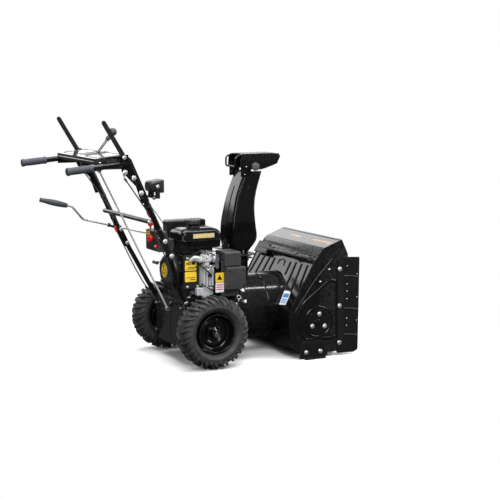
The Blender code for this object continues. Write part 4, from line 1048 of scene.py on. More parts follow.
def tank():
    a = low("fuel_tank") - Vector((0.004, 0.01, 0))
    b = high("fuel_tank") + Vector((0, 0.01, 0))
    neck = Vector((-0.02, 0.012, 0))

    @piece("fuel_tank_pressed", PAINT, node="fuel_tank")
    def body(bm):
        rows = ((0.522, 0.01, 0.012), (0.523, 0.006, 0.014), (0.546, 0.0045, 0.016),
                (0.5535, 0.0035, 0.016), (0.555, 0.0002, 0.018), (0.559, 0.0002, 0.018),
                (0.5605, 0.003, 0.018), (0.583, 0.0035, 0.02), (0.593, 0.006, 0.022),
                (0.601, 0.012, 0.024), (0.607, 0.021, 0.024), (0.611, 0.033, 0.022),
                (0.613, 0.048, 0.018))
        ring_loft(bm, [[(x, y, z) for x, y in
                        round_rect(a.x + inset, a.y + inset, b.x - inset,
                                   b.y - inset - (TANK_STEP if z < 0.555 else 0), corner, 6)]
                       for z, inset, corner in rows])
        lathe(bm, [(0.6, 0.0), (0.6, 0.03), (0.6145, 0.0295), (0.616, 0.027), (0.6215, 0.0268),
                   (0.6215, 0.0)], neck, Z, 48)


    @piece("tank_feet", SATIN)
    def feet(bm):
        soft_box(bm, (a.x + 0.03, -0.06, 0.4958), (b.x - 0.01, 0.088, 0.5222), 0.002)
        soft_box(bm, (a.x + 0.026, 0.03, 0.52), (b.x - 0.014, 0.098, 0.556), 0.002)


    @piece("tank_plate", SATIN, 0.0003)
    def plate(bm):
        slab(bm, round_rect(-0.055, 0.565, 0.06, 0.5925, 0.004),
             lambda u, v, h: Vector((a.x + 0.0032 - h, -u, v)), 0.0016)

    @piece("tank_plate_face", CREAM)
    def plate_face(bm):
        slab(bm, round_rect(-0.0505, 0.5685, 0.0555, 0.589, 0.002),
             lambda u, v, h: Vector((a.x + 0.0017 - h, -u, v)), 0.0003)

    @piece("tank_plate_marks", YELLOW)
    def plate_marks(bm):
        for k in range(6):
            u = -0.036 + 0.0145 * k
            slab(bm, round_rect(u, 0.5745, u + 0.0095, 0.583, 0.0025),
                 lambda s, t, h: Vector((a.x + 0.0014 - h, -s, t)), 0.0002)

    base = Vector((neck.x, neck.y, low("fuel_cap").z))

    @piece("fuel_cap_ribbed", BLACK_PLASTIC, body="fuel_cap", node="fuel_cap")
    def cap(bm):
        profile = ((0.0, 0.03, 0), (0.0025, 0.0338, 0), (0.005, 0.0344, 1), (0.0185, 0.034, 1),
                   (0.0215, 0.0322, 0.7), (0.0236, 0.0285, 0), (0.0244, 0.02, 0),
                   (0.0236, 0.0185, 0), (0.0236, 0.013, 0), (0.0254, 0.0115, 0), (0.0254, 0.003, 0))
        rings = []
        for height, radius, lobe in profile:
            ring = []
            for k in range(176):
                a = 2 * pi * k / 176
                r = radius - lobe * 0.0014 * (0.5 + 0.5 * cos(22 * a))
                ring.append(base + Vector((r * cos(a), r * sin(a), height)))
            rings.append(ring)
        ring_loft(bm, rings)


def shroud_and_block():
    foot = low("engine_block").z

    @piece("engine_case", SATIN, node="engine_block")
    def case(bm):
        soft_box(bm, (-0.094, -0.0595, foot + 0.012), (0.094, 0.0915, 0.4945), 0.01, 0.016)
        soft_box(bm, (-0.11, -0.05, foot), (0.11, 0.085, foot + 0.016), 0.003, 0.01)
        soft_box(bm, (0.05, -0.05, 0.36), (0.1175, 0.06, 0.4845), 0.007, 0.012)


    @piece("cylinder_fins", ALLOY, 0.0003)
    def fins(bm):
        for k in range(13):
            z = 0.3545 + 0.0068 * k
            slab(bm, round_rect(-0.1245, -0.047, -0.09, 0.0235, 0.01, 4),
                 facing_z(z), 0.0022)
        soft_box(bm, (-0.116, -0.04, 0.351), (-0.09, 0.016, 0.444), 0.004)
        for y in (-0.038, -0.024, -0.009, 0.006):
            lathe(bm, [(0, 0.0), (0, 0.0046), (0.06, 0.0046), (0.064, 0.0062), (0.082, 0.0062),
                       (0.086, 0.0), ], (-0.1235, y, 0.35), Z, 16)
        soft_box(bm, (-0.1245, -0.044, 0.305), (-0.09, 0.04, 0.344), 0.006, 0.01)
        lathe(bm, [(0.0, 0.0), (0.0, 0.026), (0.004, 0.026), (0.006, 0.022), (0.006, 0.0)],
              (-0.1235, 0.0, 0.325), -X, 36)


    @piece("cooling_shroud", BLACK_PLASTIC, 0.0008)
    def shroud(bm):
        outline = rounded([(0.098, 0.34), (0.098, 0.488), (-0.052, 0.488), (-0.052, 0.452),
                           (0.02, 0.452), (0.02, 0.34)], 0.008)
        slab(bm, outline, facing_x(-0.0935, -1), 0.012)
        slab(bm, rounded([(0.04, -0.058), (0.112, -0.058), (0.112, 0.05), (0.04, 0.05)], 0.008),
             facing_z(0.485), 0.002)


    @piece("maintenance_panel", YELLOW, 0.0004)
    def panel(bm):
        for v0, v1 in ((0.372, 0.418), (0.423, 0.47)):
            slab(bm, round_rect(0.036, v0, 0.093, v1, 0.005),
                 facing_x(-0.1052, -1), 0.0014)

    @piece("maintenance_panel_marks", CABLE)
    def panel_marks(bm):
        for u0, v0, u1, v1 in ((0.042, 0.45, 0.06, 0.464), (0.064, 0.45, 0.087, 0.454),
                               (0.064, 0.457, 0.087, 0.461), (0.042, 0.43, 0.087, 0.433),
                               (0.042, 0.437, 0.078, 0.44), (0.042, 0.38, 0.068, 0.384),
                               (0.042, 0.39, 0.087, 0.393)):
            slab(bm, round_rect(u0, v0, u1, v1, 0.001), facing_x(-0.1065, -1),
                 0.0003)


    @piece("side_tag", BLACK_PLASTIC, 0.0004)
    def tag(bm):
        slab(bm, round_rect(-0.082, 0.318, -0.034, 0.416, 0.005),
             facing_x(-0.1508, -1), 0.0022)
        soft_box(bm, (-0.152, -0.056, 0.335), (-0.118, -0.04, 0.35), 0.002)
        soft_box(bm, (-0.152, -0.056, 0.39), (-0.118, -0.04, 0.405), 0.002)

    for where, material, v0, v1 in (("upper", YELLOW, 0.368, 0.412),
                                    ("lower", WHITE, 0.322, 0.366)):
        @piece(f"side_tag_{where}", material)
        def tag_label(bm):
            slab(bm, round_rect(-0.079, v0, -0.037, v1, 0.003), facing_x(-0.1529, -1), 0.0004)

    @piece("side_tag_sign", CABLE)
    def tag_sign(bm):
        slab(bm, arc(-0.058, 0.387, 0.015, 90, 450, 3)[:-1], facing_x(-0.1532, -1), 0.0003)

    @piece("side_tag_lines", RED)
    def tag_line(bm):
        for z in (0.334, 0.344, 0.354):
            slab(bm, round_rect(-0.074, z, -0.042, z + 0.004, 0.001),
                 facing_x(-0.1532, -1), 0.0003)


    @piece("engine_bolts", ZINC, 0.0003)
    def bolts(bm):
        for x, y in ((-0.104, -0.04), (-0.104, 0.072), (0.104, -0.04), (0.104, 0.072)):
            bolt(bm, (x, y, foot + 0.016), Z, 0.0065)
        for y, z in ((0.08, 0.35), (0.03, 0.35), (0.08, 0.479), (-0.042, 0.47)):
            bolt(bm, (-0.1053, y, z), -X, 0.0046)
        for y, z in ((-0.034, 0.312), (0.03, 0.312), (-0.034, 0.337), (0.03, 0.337)):
            bolt(bm, (-0.124, y, z), -X, 0.0042, washer=False)


    @piece("spark_plug_lead", CABLE)
    def plug_lead(bm):
        sweep(bm, curve_points([(-0.112, -0.02, 0.398), (-0.146, -0.02, 0.402),
                                (-0.15, 0.004, 0.425),
                                (-0.138, 0.028, 0.446), (-0.11, 0.04, 0.44)], 6), 0.0035, 12)
        lathe(bm, [(0, 0.0), (0, 0.0078), (0.018, 0.0072), (0.026, 0.005), (0.026, 0.0)],
              (-0.118, -0.02, 0.398), (-1, 0, 0.1), 20)

    @piece("fuel_lines", CABLE)
    def fuel_lines(bm):
        for route, radius, sides in (
                (((-0.07, 0.02, 0.523), (-0.108, 0.016, 0.516), (-0.136, 0.0, 0.505),
                  (-0.138, -0.01, 0.494)), 0.0034, 12),
                (((-0.128, -0.06, 0.5), (-0.146, -0.03, 0.512), (-0.132, 0.02, 0.514),
                  (-0.1, 0.06, 0.492)), 0.0026, 10),
                (((-0.126, 0.02, 0.362), (-0.148, 0.01, 0.352), (-0.14, -0.03, 0.33),
                  (-0.118, -0.05, 0.314)), 0.003, 10)):
            sweep(bm, curve_points(route), radius, sides)

    @piece("oil_filler", BLACK_PLASTIC, 0.0003)
    def filler(bm):
        lathe(bm, [(0, 0.0), (0, 0.0125), (0.004, 0.0135), (0.01, 0.0135), (0.013, 0.011),
                   (0.02, 0.01),
                   (0.022, 0.008), (0.022, 0.0)], (-0.108, 0.062, 0.318), (-0.9, 0.1, 0.35), 24)


def carburettor():
    """Body, float bowl, throat, choke and throttle plates, rods and springs."""
    @piece("carburettor_cast", ALLOY, 0.0003, node="carburettor")
    def body(bm):
        soft_box(bm, (-0.139, -0.029, 0.462), (-0.101, 0.019, 0.496), 0.005, 0.008)
        lathe(bm, [(0.0, 0.0), (0.0, 0.0115), (-0.004, 0.015), (-0.014, 0.015), (-0.018, 0.0125),
                   (-0.0195, 0.0)], (-0.12, -0.006, 0.463), Z, 28)
        lathe(bm, [(0.0, 0.0165), (0.004, 0.017), (0.022, 0.015), (0.024, 0.012), (0.024, 0.0)],
              (-0.121, -0.062, 0.47), Y, 28)
        disc(bm, (-0.121, -0.0625, 0.47), Y, 0.0165, 0.003, 28)
        lathe(bm, [(0.0, 0.0), (0.0, 0.015), (0.012, 0.015), (0.014, 0.012), (0.034, 0.011),
                   (0.034, 0.0)], (-0.12, 0.017, 0.472), Y + Z * 0.2, 24)
        for y, z in ((-0.02, 0.492), (0.01, 0.492)):
            lathe(bm, [(0, 0.0), (0, 0.0052), (0.009, 0.0048), (0.009, 0.0)], (-0.118, y, z), Z, 16)
        sweep(bm, bent_points([(-0.126, 0.03, 0.48), (-0.126, 0.054, 0.486), (-0.112, 0.068, 0.47)],
                              0.01), 0.0085, 16)


    @piece("carburettor_linkage", CHROME, 0.0002)
    def linkage(bm):
        slab(bm, rounded([(-0.024, 0.498), (0.022, 0.502), (0.026, 0.508), (-0.01, 0.512),
                          (-0.03, 0.505)], 0.003), facing_x(-0.126, -1), 0.0016)
        slab(bm, rounded([(-0.06, 0.43), (-0.046, 0.428), (-0.038, 0.46), (-0.046, 0.498),
                          (-0.058, 0.494)], 0.004), facing_x(-0.1415, -1), 0.0016)
        sweep(bm, [(-0.143, -0.05, 0.492), (-0.143, 0.01, 0.5045)], 0.0012, 8)
        sweep(bm, [(-0.144, -0.046, 0.438), (-0.144, 0.03, 0.453)], 0.0012, 8)
        sweep(bm, helix((-0.14, -0.04, 0.5), (-0.14, 0.006, 0.51), 0.003, 12, 8), 0.0006, 6)
        sweep(bm, helix((-0.14, -0.044, 0.446), (-0.14, 0.02, 0.444), 0.0032, 14, 8), 0.0006, 6)
        sweep(bm, curve_points([(-0.135, 0.02, 0.44), (-0.14, 0.005, 0.42), (-0.132, -0.02, 0.428),
                                (-0.138, -0.036, 0.41)], 6), 0.0014, 8)
        for y, z in ((-0.052, 0.462), (-0.05, 0.49), (0.018, 0.505), (0.0, 0.48)):
            bolt(bm, (-0.14, y, z), -X, 0.004, washer=False)

    @piece("carburettor_screws", BRASS, 0.0002)
    def studs(bm):
        for y, z in ((-0.022, 0.47), (0.012, 0.47), (-0.022, 0.488), (0.012, 0.488)):
            bolt(bm, (-0.1385, y, z), -X, 0.0032, washer=False)
        bolt(bm, (-0.12, -0.006, 0.4436), -Z, 0.0045)


def recoil():
    """The recoil starter: a louvred cover, its round label and the T handle on its rope."""
    a, b = low("recoil_cover"), high("recoil_cover")
    centre = Vector((0, a.y, (a.z + b.z) / 2))
    depth = b.y - a.y

    @piece("recoil_cover_louvred", BLACK_PLASTIC, node="recoil_cover")
    def cover(bm):
        lathe(bm, [(0.0, 0.0), (0.0, 0.0798), (depth - 0.031, 0.0778), (depth - 0.02, 0.0745),
                   (depth - 0.012, 0.069), (depth - 0.006, 0.061), (depth - 0.0045, 0.046),
                   (depth - 0.006, 0.0445), (depth - 0.0062, 0.04), (depth - 0.004, 0.0385),
                   (depth - 0.0035, 0.0)], centre, Y, 72)
        for k in range(24):
            t = 2 * pi * k / 24
            out = X * cos(t) + Z * sin(t)
            across = X * -sin(t) + Z * cos(t)
            if abs(k - 3) < 2:
                continue
            pts = [centre + Y * y + out * r + across * s for y, r, s in
                   ((depth - 0.0045, 0.047, 0.0), (depth - 0.005, 0.0545, 0.003),
                    (depth - 0.008, 0.064, 0.007), (depth - 0.015, 0.071, 0.011))]
            sweep(bm, pts, 0.0021, 8)
        for k in range(3):
            t = radians(30 + 120 * k)
            at = centre + X * 0.076 * cos(t) + Z * 0.076 * sin(t)
            disc(bm, at, Y, 0.0068, 0.01)


    @piece("recoil_label", YELLOW)
    def label(bm):
        lathe(bm, [(0, 0.0), (0, 0.0345), (0.0008, 0.034), (0.0008, 0.0)],
              centre + Y * (depth - 0.0038), Y, 56)

    @piece("recoil_label_marks", CABLE)
    def swirl(bm):
        for k in range(3):
            pts = []
            for i in range(9):
                t = radians(120 * k + 14 * i)
                pts.append(centre + Y * (depth - 0.003) + X * (0.008 + 0.0022 * i) * cos(t)
                           + Z * (0.008 + 0.0022 * i) * sin(t))
            bead(bm, pts, Y, 0.003, 0.0005)
        lathe(bm, [(0, 0.03), (0.0004, 0.03), (0.0004, 0.0318), (0, 0.0318)],
              centre + Y * (depth - 0.0031), Y, 56, closed=True)

    grip_low, grip_high = low("recoil_handle"), high("recoil_handle")
    rope = Vector(((grip_low.x + grip_high.x) / 2, grip_low.y, (grip_low.z + grip_high.z) / 2))
    bar_y = grip_high.y - 0.0085

    @piece("recoil_t_handle", BLACK_PLASTIC, body="recoil_handle", node="recoil_handle")
    def handle(bm):
        rings = []
        for k in range(21):
            t = -1 + 2 * k / 20
            radius = 0.0084 * (1 - 0.1 * cos(pi * t)) * sqrt(max(0.02, 1 - abs(t) ** 9)) / 1.1
            rings.append([Vector((rope.x + 0.0279 * t, bar_y + radius * cos(a) * 0.92,
                                  rope.z + radius * sin(a)))
                          for a in [2 * pi * i / 20 for i in range(20)]])
        ring_loft(bm, rings)
        lathe(bm, [(0, 0.003), (0, 0.0052), (0.01, 0.006), (0.018, 0.007), (0.018, 0.003)],
              (rope.x, bar_y - 0.0155, rope.z), Y, 20, closed=True)

    @piece("recoil_rope", GRIP, body="recoil_handle")
    def cord(bm):
        sweep(bm, [(rope.x, grip_low.y, rope.z), (rope.x, bar_y, rope.z)], 0.0021, 10)


    @piece("rope_guide", BLACK_PLASTIC)
    def guide(bm):
        lathe(bm, [(0, 0.0062), (0, 0.01), (0.004, 0.0096), (0.006, 0.008), (0.006, 0.0062)],
              (rope.x, b.y - 0.015, rope.z), Y, 24, closed=True)


def covers():
    """Muffler shield, carburettor heater box and the belt cover's ribs and screws."""
    a, b = low("muffler"), high("muffler")

    @piece("muffler_shield", SATIN, node="muffler")
    def shield(bm):
        soft_box(bm, (a.x, a.y, 0.5), (b.x, b.y, b.z), 0.009, 0.014)
        disc(bm, (0.112, 0.02, 0.4864), Z, 0.0118, 0.02, 24)


    # the dark strips on top are painted shade standing in for slot openings; the beads on the side
    # are raised louvres
    @piece("muffler_louvres_and_slot_shade", CABLE)
    def slot_shade(bm):
        for k in range(7):
            y = a.y + 0.03 + 0.0215 * k
            slab(bm, round_rect(a.x + 0.016, y - 0.003, b.x - 0.016, y + 0.003, 0.0028),
                 facing_z(b.z - 0.0006, 0.3), 0.0015)
        for k in range(5):
            z = 0.526 + 0.018 * k
            bead(bm, [(b.x - 0.0012, y, z) for y in (a.y + 0.03, 0.0, b.y - 0.03)], X, 0.004,
                 0.0012)

    a, b = low("heater_box"), high("heater_box")

    @piece("heater_box_cover", DARK_PLASTIC, node="heater_box")
    def box_cover(bm):
        soft_box(bm, (a.x, a.y, a.z), (-0.15, b.y, b.z), 0.007, 0.009)
        soft_box(bm, (a.x + 0.004, a.y + 0.0004, 0.4628), (b.x, b.y - 0.0004, b.z - 0.0003), 0.006,
                 0.009)


    @piece("heater_box_seams", CABLE)
    def seams(bm):
        soft_box(bm, (a.x - 0.0001, a.y + 0.008, a.z + 0.028),
                 (a.x + 0.004, b.y - 0.008, a.z + 0.0295),
                 0.0003)
        for y in (a.y + 0.012, b.y - 0.012):
            dome(bm, (a.x + 0.0004, y, b.z - 0.014), -X, 0.0036, 0.0004)
        dome(bm, ((a.x + b.x) / 2, (a.y + b.y) / 2, b.z - 0.0006), Z, 0.005, 0.0006)

    a, b = low("belt_cover"), high("belt_cover")

    @piece("belt_cover_screws", SATIN)
    def ribs(bm):
        for z in (0.352, 0.42):
            for y in (-0.16, -0.092):
                dome(bm, (a.x, y, z), -X, 0.0042, 0.0004)
        for x in (-0.11, -0.06, 0.02, 0.07):
            bead(bm, [(x, -0.1562, z) for z in (0.4, 0.43, 0.455)], -Y, 0.003, 0.0012)


def controls():
    """Control panel with its sticker, and the red throttle, key and primer."""
    a, b = low("control_panel"), high("control_panel")
    back = b.y

    @piece("control_panel_box", DARK_PLASTIC, node="control_panel")
    def panel(bm):
        soft_box(bm, (a.x, 0.1385, a.z), (b.x, back - 0.001, b.z), 0.005, 0.007)
        soft_box(bm, (-0.01, a.y, 0.515), (0.05, 0.14, 0.56), 0.003)


    @piece("control_rims", BLACK_PLASTIC)
    def rims(bm):
        for x, z, r in ((0.052, 0.56, 0.015), (0.005, 0.527, 0.0118)):
            lathe(bm, [(-0.002, r - 0.003), (0.0009, r - 0.003), (0.0012, r - 0.002), (0.0009, r),
                       (-0.002, r)], (x, back - 0.0013, z), Y, 36, closed=True)
        slab(bm, round_rect(a.x + 0.006, a.z + 0.006, b.x - 0.006, b.z - 0.006, 0.006),
             facing_y(back - 0.0012, 0.5), 0.0012)
        slab(bm, round_rect(0.1105, 0.148, 0.1215, 0.183, 0.0035),
             facing_z(b.z - 0.0012), 0.0011)

    @piece("control_sticker", YELLOW)
    def sticker(bm):
        slab(bm, round_rect(0.076, 0.572, 0.126, 0.589, 0.002),
             facing_y(back - 0.0006), 0.0003)

    @piece("control_sticker_marks", CABLE)
    def sticker_marks(bm):
        for k in range(4):
            u = 0.079 + 0.011 * k
            slab(bm, round_rect(u, 0.5785, u + 0.006, 0.5845, 0.001),
                 facing_y(back - 0.0004), 0.0003)

    @piece("control_screws", ZINC)
    def screws(bm):
        for x in (a.x + 0.012, b.x - 0.012):
            for z in (a.z + 0.012, b.z - 0.02):
                dome(bm, (x, back - 0.0008, z), Y, 0.0034, 0.0006)

    key_low, key_high = low("engine_key"), high("engine_key")
    key = middle("engine_key")

    @piece("engine_key_bow", RED, 0.0004, body="engine_key", node="engine_key")
    def key_shape(bm):
        lathe(bm, [(0, 0.0), (0, 0.0078), (0.018, 0.0078), (0.0182, 0.0118), (0.0195, 0.0129),
                   (0.024, 0.0129), (0.0255, 0.011), (0.0255, 0.0)], (key.x, key_low.y, key.z), Y,
                   32)
        outline = rounded([(-0.006, 0.0), (0.006, 0.0), (0.013, 0.008), (0.011, 0.017),
                           (-0.011, 0.017), (-0.013, 0.008)], 0.004)
        start = key_high.y - 0.017
        slab(bm, outline, lambda u, v, h: Vector((key.x - 0.0022 + h, start + v, key.z + u)),
             0.0044)

    button_low, button_high = low("primer_button"), high("primer_button")
    button = middle("primer_button")
    reach = button_high.y - button_low.y

    @piece("primer_bulb", RED, body="primer_button", node="primer_button")
    def bulb(bm):
        profile = [(0, 0.0), (0, 0.0078), (reach - 0.0095, 0.0078)]
        profile += [(reach - 0.0095 + 0.0094 * sin(radians(t)), 0.0078 * cos(radians(t)))
                    for t in (15, 30, 45, 60, 75, 85)]
        lathe(bm, profile + [(reach, 0.0)], (button.x, button_low.y, button.z), Y, 32)

    lever_low, lever_high = low("throttle_lever"), high("throttle_lever")
    lever = middle("throttle_lever")
    ball_z = lever_high.z - 0.0141

    @piece("throttle_ball", RED, body="throttle_lever", node="throttle_lever")
    def throttle(bm):
        slab(bm, rounded([(lever.y - 0.004, lever_low.z), (lever.y + 0.004, lever_low.z),
                          (lever.y + 0.0034, ball_z - 0.008), (lever.y - 0.0034, ball_z - 0.008)],
                         0.0012), facing_x(lever.x - 0.0024), 0.0048)
        profile = [(-0.0165, 0.0), (-0.0165, 0.0048), (-0.012, 0.0062)]
        profile += ball_half(0.014, (-50, -35, -20, -5, 10, 25, 40, 55, 70, 82))
        lathe(bm, profile + [(0.014, 0.0)], (lever.x, lever.y, ball_z), Z, 32)


def engine():
    for make in (shroud_and_block, tank, carburettor, recoil, covers, controls):
        make()


# --------------------------------------------- handles, console, levers, lamp

GRIP_FRONT, GRIP_BACK = Vector((0.299, 0.6, 0.9165)), Vector((0.305, 0.716, 0.9055))
RAIL_FOOT, RAIL_TOP = Vector((0.268, 0.2255, 0.505)), Vector((0.268, 0.425, 0.93))
RAIL_ALONG = (RAIL_TOP - RAIL_FOOT).normalized()
DASH_FRONT, DASH_REAR = Vector((0, 0.4135, 0.9655)), Vector((0, 0.567, 0.9505))


def rail_at(z, sign=1):
    at = RAIL_FOOT + RAIL_ALONG * ((z - RAIL_FOOT.z) / RAIL_ALONG.z)
    return Vector((sign * at.x, at.y, at.z))


def mirrored(point, sign):
    return Vector((sign * point.x, point.y, point.z))


def hand_grip(side, sign):
    """A moulded grip: end caps, a waist and shallow rings around it."""
    node = f"grip_{side}"
    start, end = mirrored(GRIP_FRONT, sign), mirrored(GRIP_BACK, sign)
    length = (end - start).length

    @piece(f"{node}_moulded", GRIP, node=node)
    def make(bm):
        profile = [(0.0002, 0.013), (0.0002, 0.0152), (0.0015, 0.0166), (0.006, 0.0171),
                   (0.01, 0.0166)]
        count = 26
        for k in range(count):
            t = k / (count - 1)
            swell = 0.0153 + 0.0008 * sin(pi * t)
            for share, drop in ((0.0, 0.0), (0.55, 0.0), (0.7, 0.0006), (0.9, 0.0006)):
                profile.append((0.013 + (length - 0.03) * (k + share) / count, swell - drop))
        profile += [(length - 0.016, 0.0156), (length - 0.0125, 0.017), (length - 0.0095, 0.0174),
                    (length - 0.0045, 0.0174), (length - 0.0012, 0.0156), (length - 0.0002, 0.012),
                    (length - 0.0008, 0.006), (length - 0.0006, 0.0)]
        lathe(bm, [(0.0002, 0.0)] + profile, start, end - start, 40)


def dash():
    """Console plate trim: slot surround, side flanges, folded edges and fastenings."""
    slope = (DASH_REAR - DASH_FRONT).normalized()
    top = on_plane(DASH_FRONT + X.cross(slope) * 0.0016, X, slope)
    length = (DASH_REAR - DASH_FRONT).length

    @piece("dash_slot_frame", SATIN, 0.0002)
    def frame_plate(bm):
        outer = rounded([(-0.03, 0.008), (0.03, 0.008), (0.03, 0.126), (-0.03, 0.126)], 0.01)
        inner = rounded([(-0.0078, 0.0115), (0.0078, 0.0115), (0.0078, 0.1135), (-0.0078, 0.1135)],
                        0.0076)
        rings = [[top(u, v, h) for u, v in line]
                 for line, h in ((inner, 0.0), (outer, 0.0), (outer, 0.0008), (inner, 0.0008))]
        ring_loft(bm, rings, closed=True)

    @piece("dash_pressings", PAINT, 0.0002)
    def pressings(bm):
        normal = X.cross(slope)
        for sign in (-1, 1):
            bead(bm, [top(sign * u, v, -0.0006) for u, v in
                      rounded([(0.06, 0.02), (0.225, 0.02), (0.225, length - 0.02),
                               (0.06, length - 0.02)], 0.018)], normal, 0.0045, 0.0022, True)
        bead(bm, [(x, 0.5652, 0.937) for x in (-0.225, 0.0, 0.225)], Y, 0.004, 0.0014)
        for sign in (-1, 1):
            bead(bm, [(sign * 0.2432, y, 0.931) for y in (0.43, 0.49, 0.55)], X * sign, 0.004,
                 0.0014)

    @piece("dash_scale", WHITE)
    def ticks(bm):
        for k in range(8):
            v = 0.018 + 0.0122 * k
            slab(bm, round_rect(0.0125, v, 0.0125 + (0.012 if k % 2 else 0.008), v + 0.0022,
                                0.0009),
                 lambda u, w, h: top(u, w, h + 0.0007), 0.0002)

    @piece("dash_fasteners", ZINC)
    def fasteners(bm):
        for sign in (-1, 1):
            for v in (0.014, length - 0.014):
                dome(bm, top(sign * 0.234, v, -0.0002), X.cross(slope), 0.0046, 0.0022)
            for y, z in ((0.4375, 0.94), (0.545, 0.934)):
                dome(bm, (sign * 0.243, y, z), X * sign, 0.0042, 0.0022)


def rail_details(side, sign):
    """Gusset bolts, the joint between upper and lower tubes, clips and cable ends."""
    out = X * sign

    @piece(f"rail_bolts_{side}", ZINC, 0.0003)
    def fasteners(bm):
        for y, z in ((0.447, 0.893), (0.408, 0.868), (0.374, 0.803)):
            bolt(bm, (sign * 0.282, y, z), out, 0.0076, 0.0048)
        for z in (0.588, 0.522):
            at = rail_at(z, sign)
            bolt(bm, at + out * 0.012, out, 0.0076, 0.0052)
            bolt(bm, at - out * 0.034, -out, 0.007, 0.005)
        for y, z in ((0.108, 0.262), (0.126, 0.292)):
            bolt(bm, (sign * 0.188, y, z), out, 0.0068, 0.0046)
        for y, z in ((0.095, 0.12), (-0.135, 0.12), (-0.135, 0.262), (0.06, 0.262)):
            bolt(bm, (sign * 0.1652, y, z), out, 0.0056, 0.004)
        at = rail_at(0.676, sign)
        bolt(bm, (sign * 0.268, at.y + 0.0258, 0.676), out, 0.0062, 0.0044)

    @piece(f"gusset_press_{side}", PAINT, 0.0002)
    def gusset_press(bm):
        outline = [(0.352, 0.778), (0.376, 0.785), (0.398, 0.842), (0.448, 0.9), (0.452, 0.95),
                   (0.43, 0.95), (0.398, 0.88)]
        bead(bm, [(sign * 0.2819, y, z) for y, z in rounded(outline, 0.01, 4)], out, 0.0028,
             0.0014, True)

    @piece(f"cable_clips_{side}", CABLE)
    def cable_clip(bm):
        for z in (0.64, 0.745):
            at = rail_at(z, sign)
            lathe(bm, [(-0.0045, 0.0128), (-0.0045, 0.0139), (0.0045, 0.0139), (0.0045, 0.0128)],
                  at,
                  RAIL_ALONG, 28, closed=True)
            soft_box(bm, (at.x - sign * 0.022 - 0.003, at.y - 0.004, z - 0.0045),
                     (at.x - sign * 0.022 + 0.003, at.y + 0.01, z + 0.0045), 0.0012)

    upper = Vector((sign * 0.256, 0.44, 0.866))
    into = Vector((sign * 0.253, 0.424, 0.845))

    @piece(f"cable_ferrules_{side}", SPROCKET)
    def ferrule(bm):
        lathe(bm, [(0.0, 0.0), (0.0, 0.0046), (0.004, 0.0052), (0.014, 0.0052), (0.018, 0.004),
                   (0.022, 0.0034), (0.022, 0.0)], upper, into - upper, 18)
        foot = Vector((sign * 0.14, 0.1262, 0.262 if sign < 0 else 0.245))
        lathe(bm, [(-0.004, 0.0), (-0.004, 0.0052), (0.01, 0.0048), (0.01, 0.0)], foot, Y, 18)

    @piece(f"cable_sleeve_{side}", RED)
    def red_sleeve(bm):
        y, z, lean = (0.285, 0.587, 0.45) if sign > 0 else (0.327, 0.705, 0.62)
        lathe(bm, [(-0.014, 0.0032), (-0.014, 0.005), (-0.01, 0.0056), (0.01, 0.0056),
                   (0.014, 0.005), (0.014, 0.0032)], (sign * 0.2485, y, z), Vector((0, lean, 1)),
                   18,
              closed=True)


def wire_link(side, sign):
    """The hook rod and spring at the upper end of a clutch cable."""
    @piece(f"cable_spring_{side}", ZINC)
    def make(bm):
        sweep(bm, [(sign * 0.256, 0.44, 0.866), (sign * 0.259, 0.446, 0.902),
                   (sign * 0.262, 0.448, 0.928)], 0.0016, 8)
        pts = helix((sign * 0.2566, 0.4412, 0.873), (sign * 0.259, 0.446, 0.902), 0.0042, 11, 10)
        sweep(bm, pts, 0.0008, 6)


def clutch_lever(side, sign):
    """Rolled edge, rubber tip and pivot bolt of a flat clutch lever."""
    node = f"clutch_lever_{side}"
    at = pivot(f"{node}_squeeze")
    along = Vector((0, 0.095, 0.156)).normalized()
    across = Vector((0, along.z, -along.y))
    outer = high(node).x if sign > 0 else low(node).x

    @piece(f"{node}_edges", SATIN, body=node)
    def strip(bm):
        for s in (-1, 1):
            bead(bm, [Vector((outer - sign * 0.0004, 0, 0)) + Vector((0, at.y, at.z)) + along * d
                      + across * (s * 0.0062) for d in (0.022, 0.08, 0.13, 0.16)], X * sign, 0.0022,
                 0.0003)

    @piece(f"{node}_tip", BLACK_PLASTIC, 0.0004, body=node)
    def sleeve(bm):
        foot = Vector((middle(node).x, at.y, at.z))
        section = ((-1, -0.8), (-0.6, -1), (0.6, -1), (1, -0.8), (1, 0.8), (0.6, 1), (-0.6, 1),
                   (-1, 0.8))
        ring_loft(bm, [[foot + along * d + X * u * 0.0024 * min(1.0, size + 0.1)
                        + across * v * 0.0103 * size for u, v in section] for d, size in
                       ((0.118, 0.88), (0.124, 1.0), (0.15, 1.0), (0.168, 0.97), (0.1765, 0.8),
                        (0.1802, 0.4))])

    @piece(f"{node}_pin", ZINC, 0.0002)
    def pin(bm):
        bolt(bm, Vector((sign * 0.28, at.y, at.z)) + X * sign * 0.007, X * sign, 0.0066, 0.0036)
        disc(bm, Vector((sign * 0.277, at.y, at.z)), X * sign, 0.0045, 0.01)


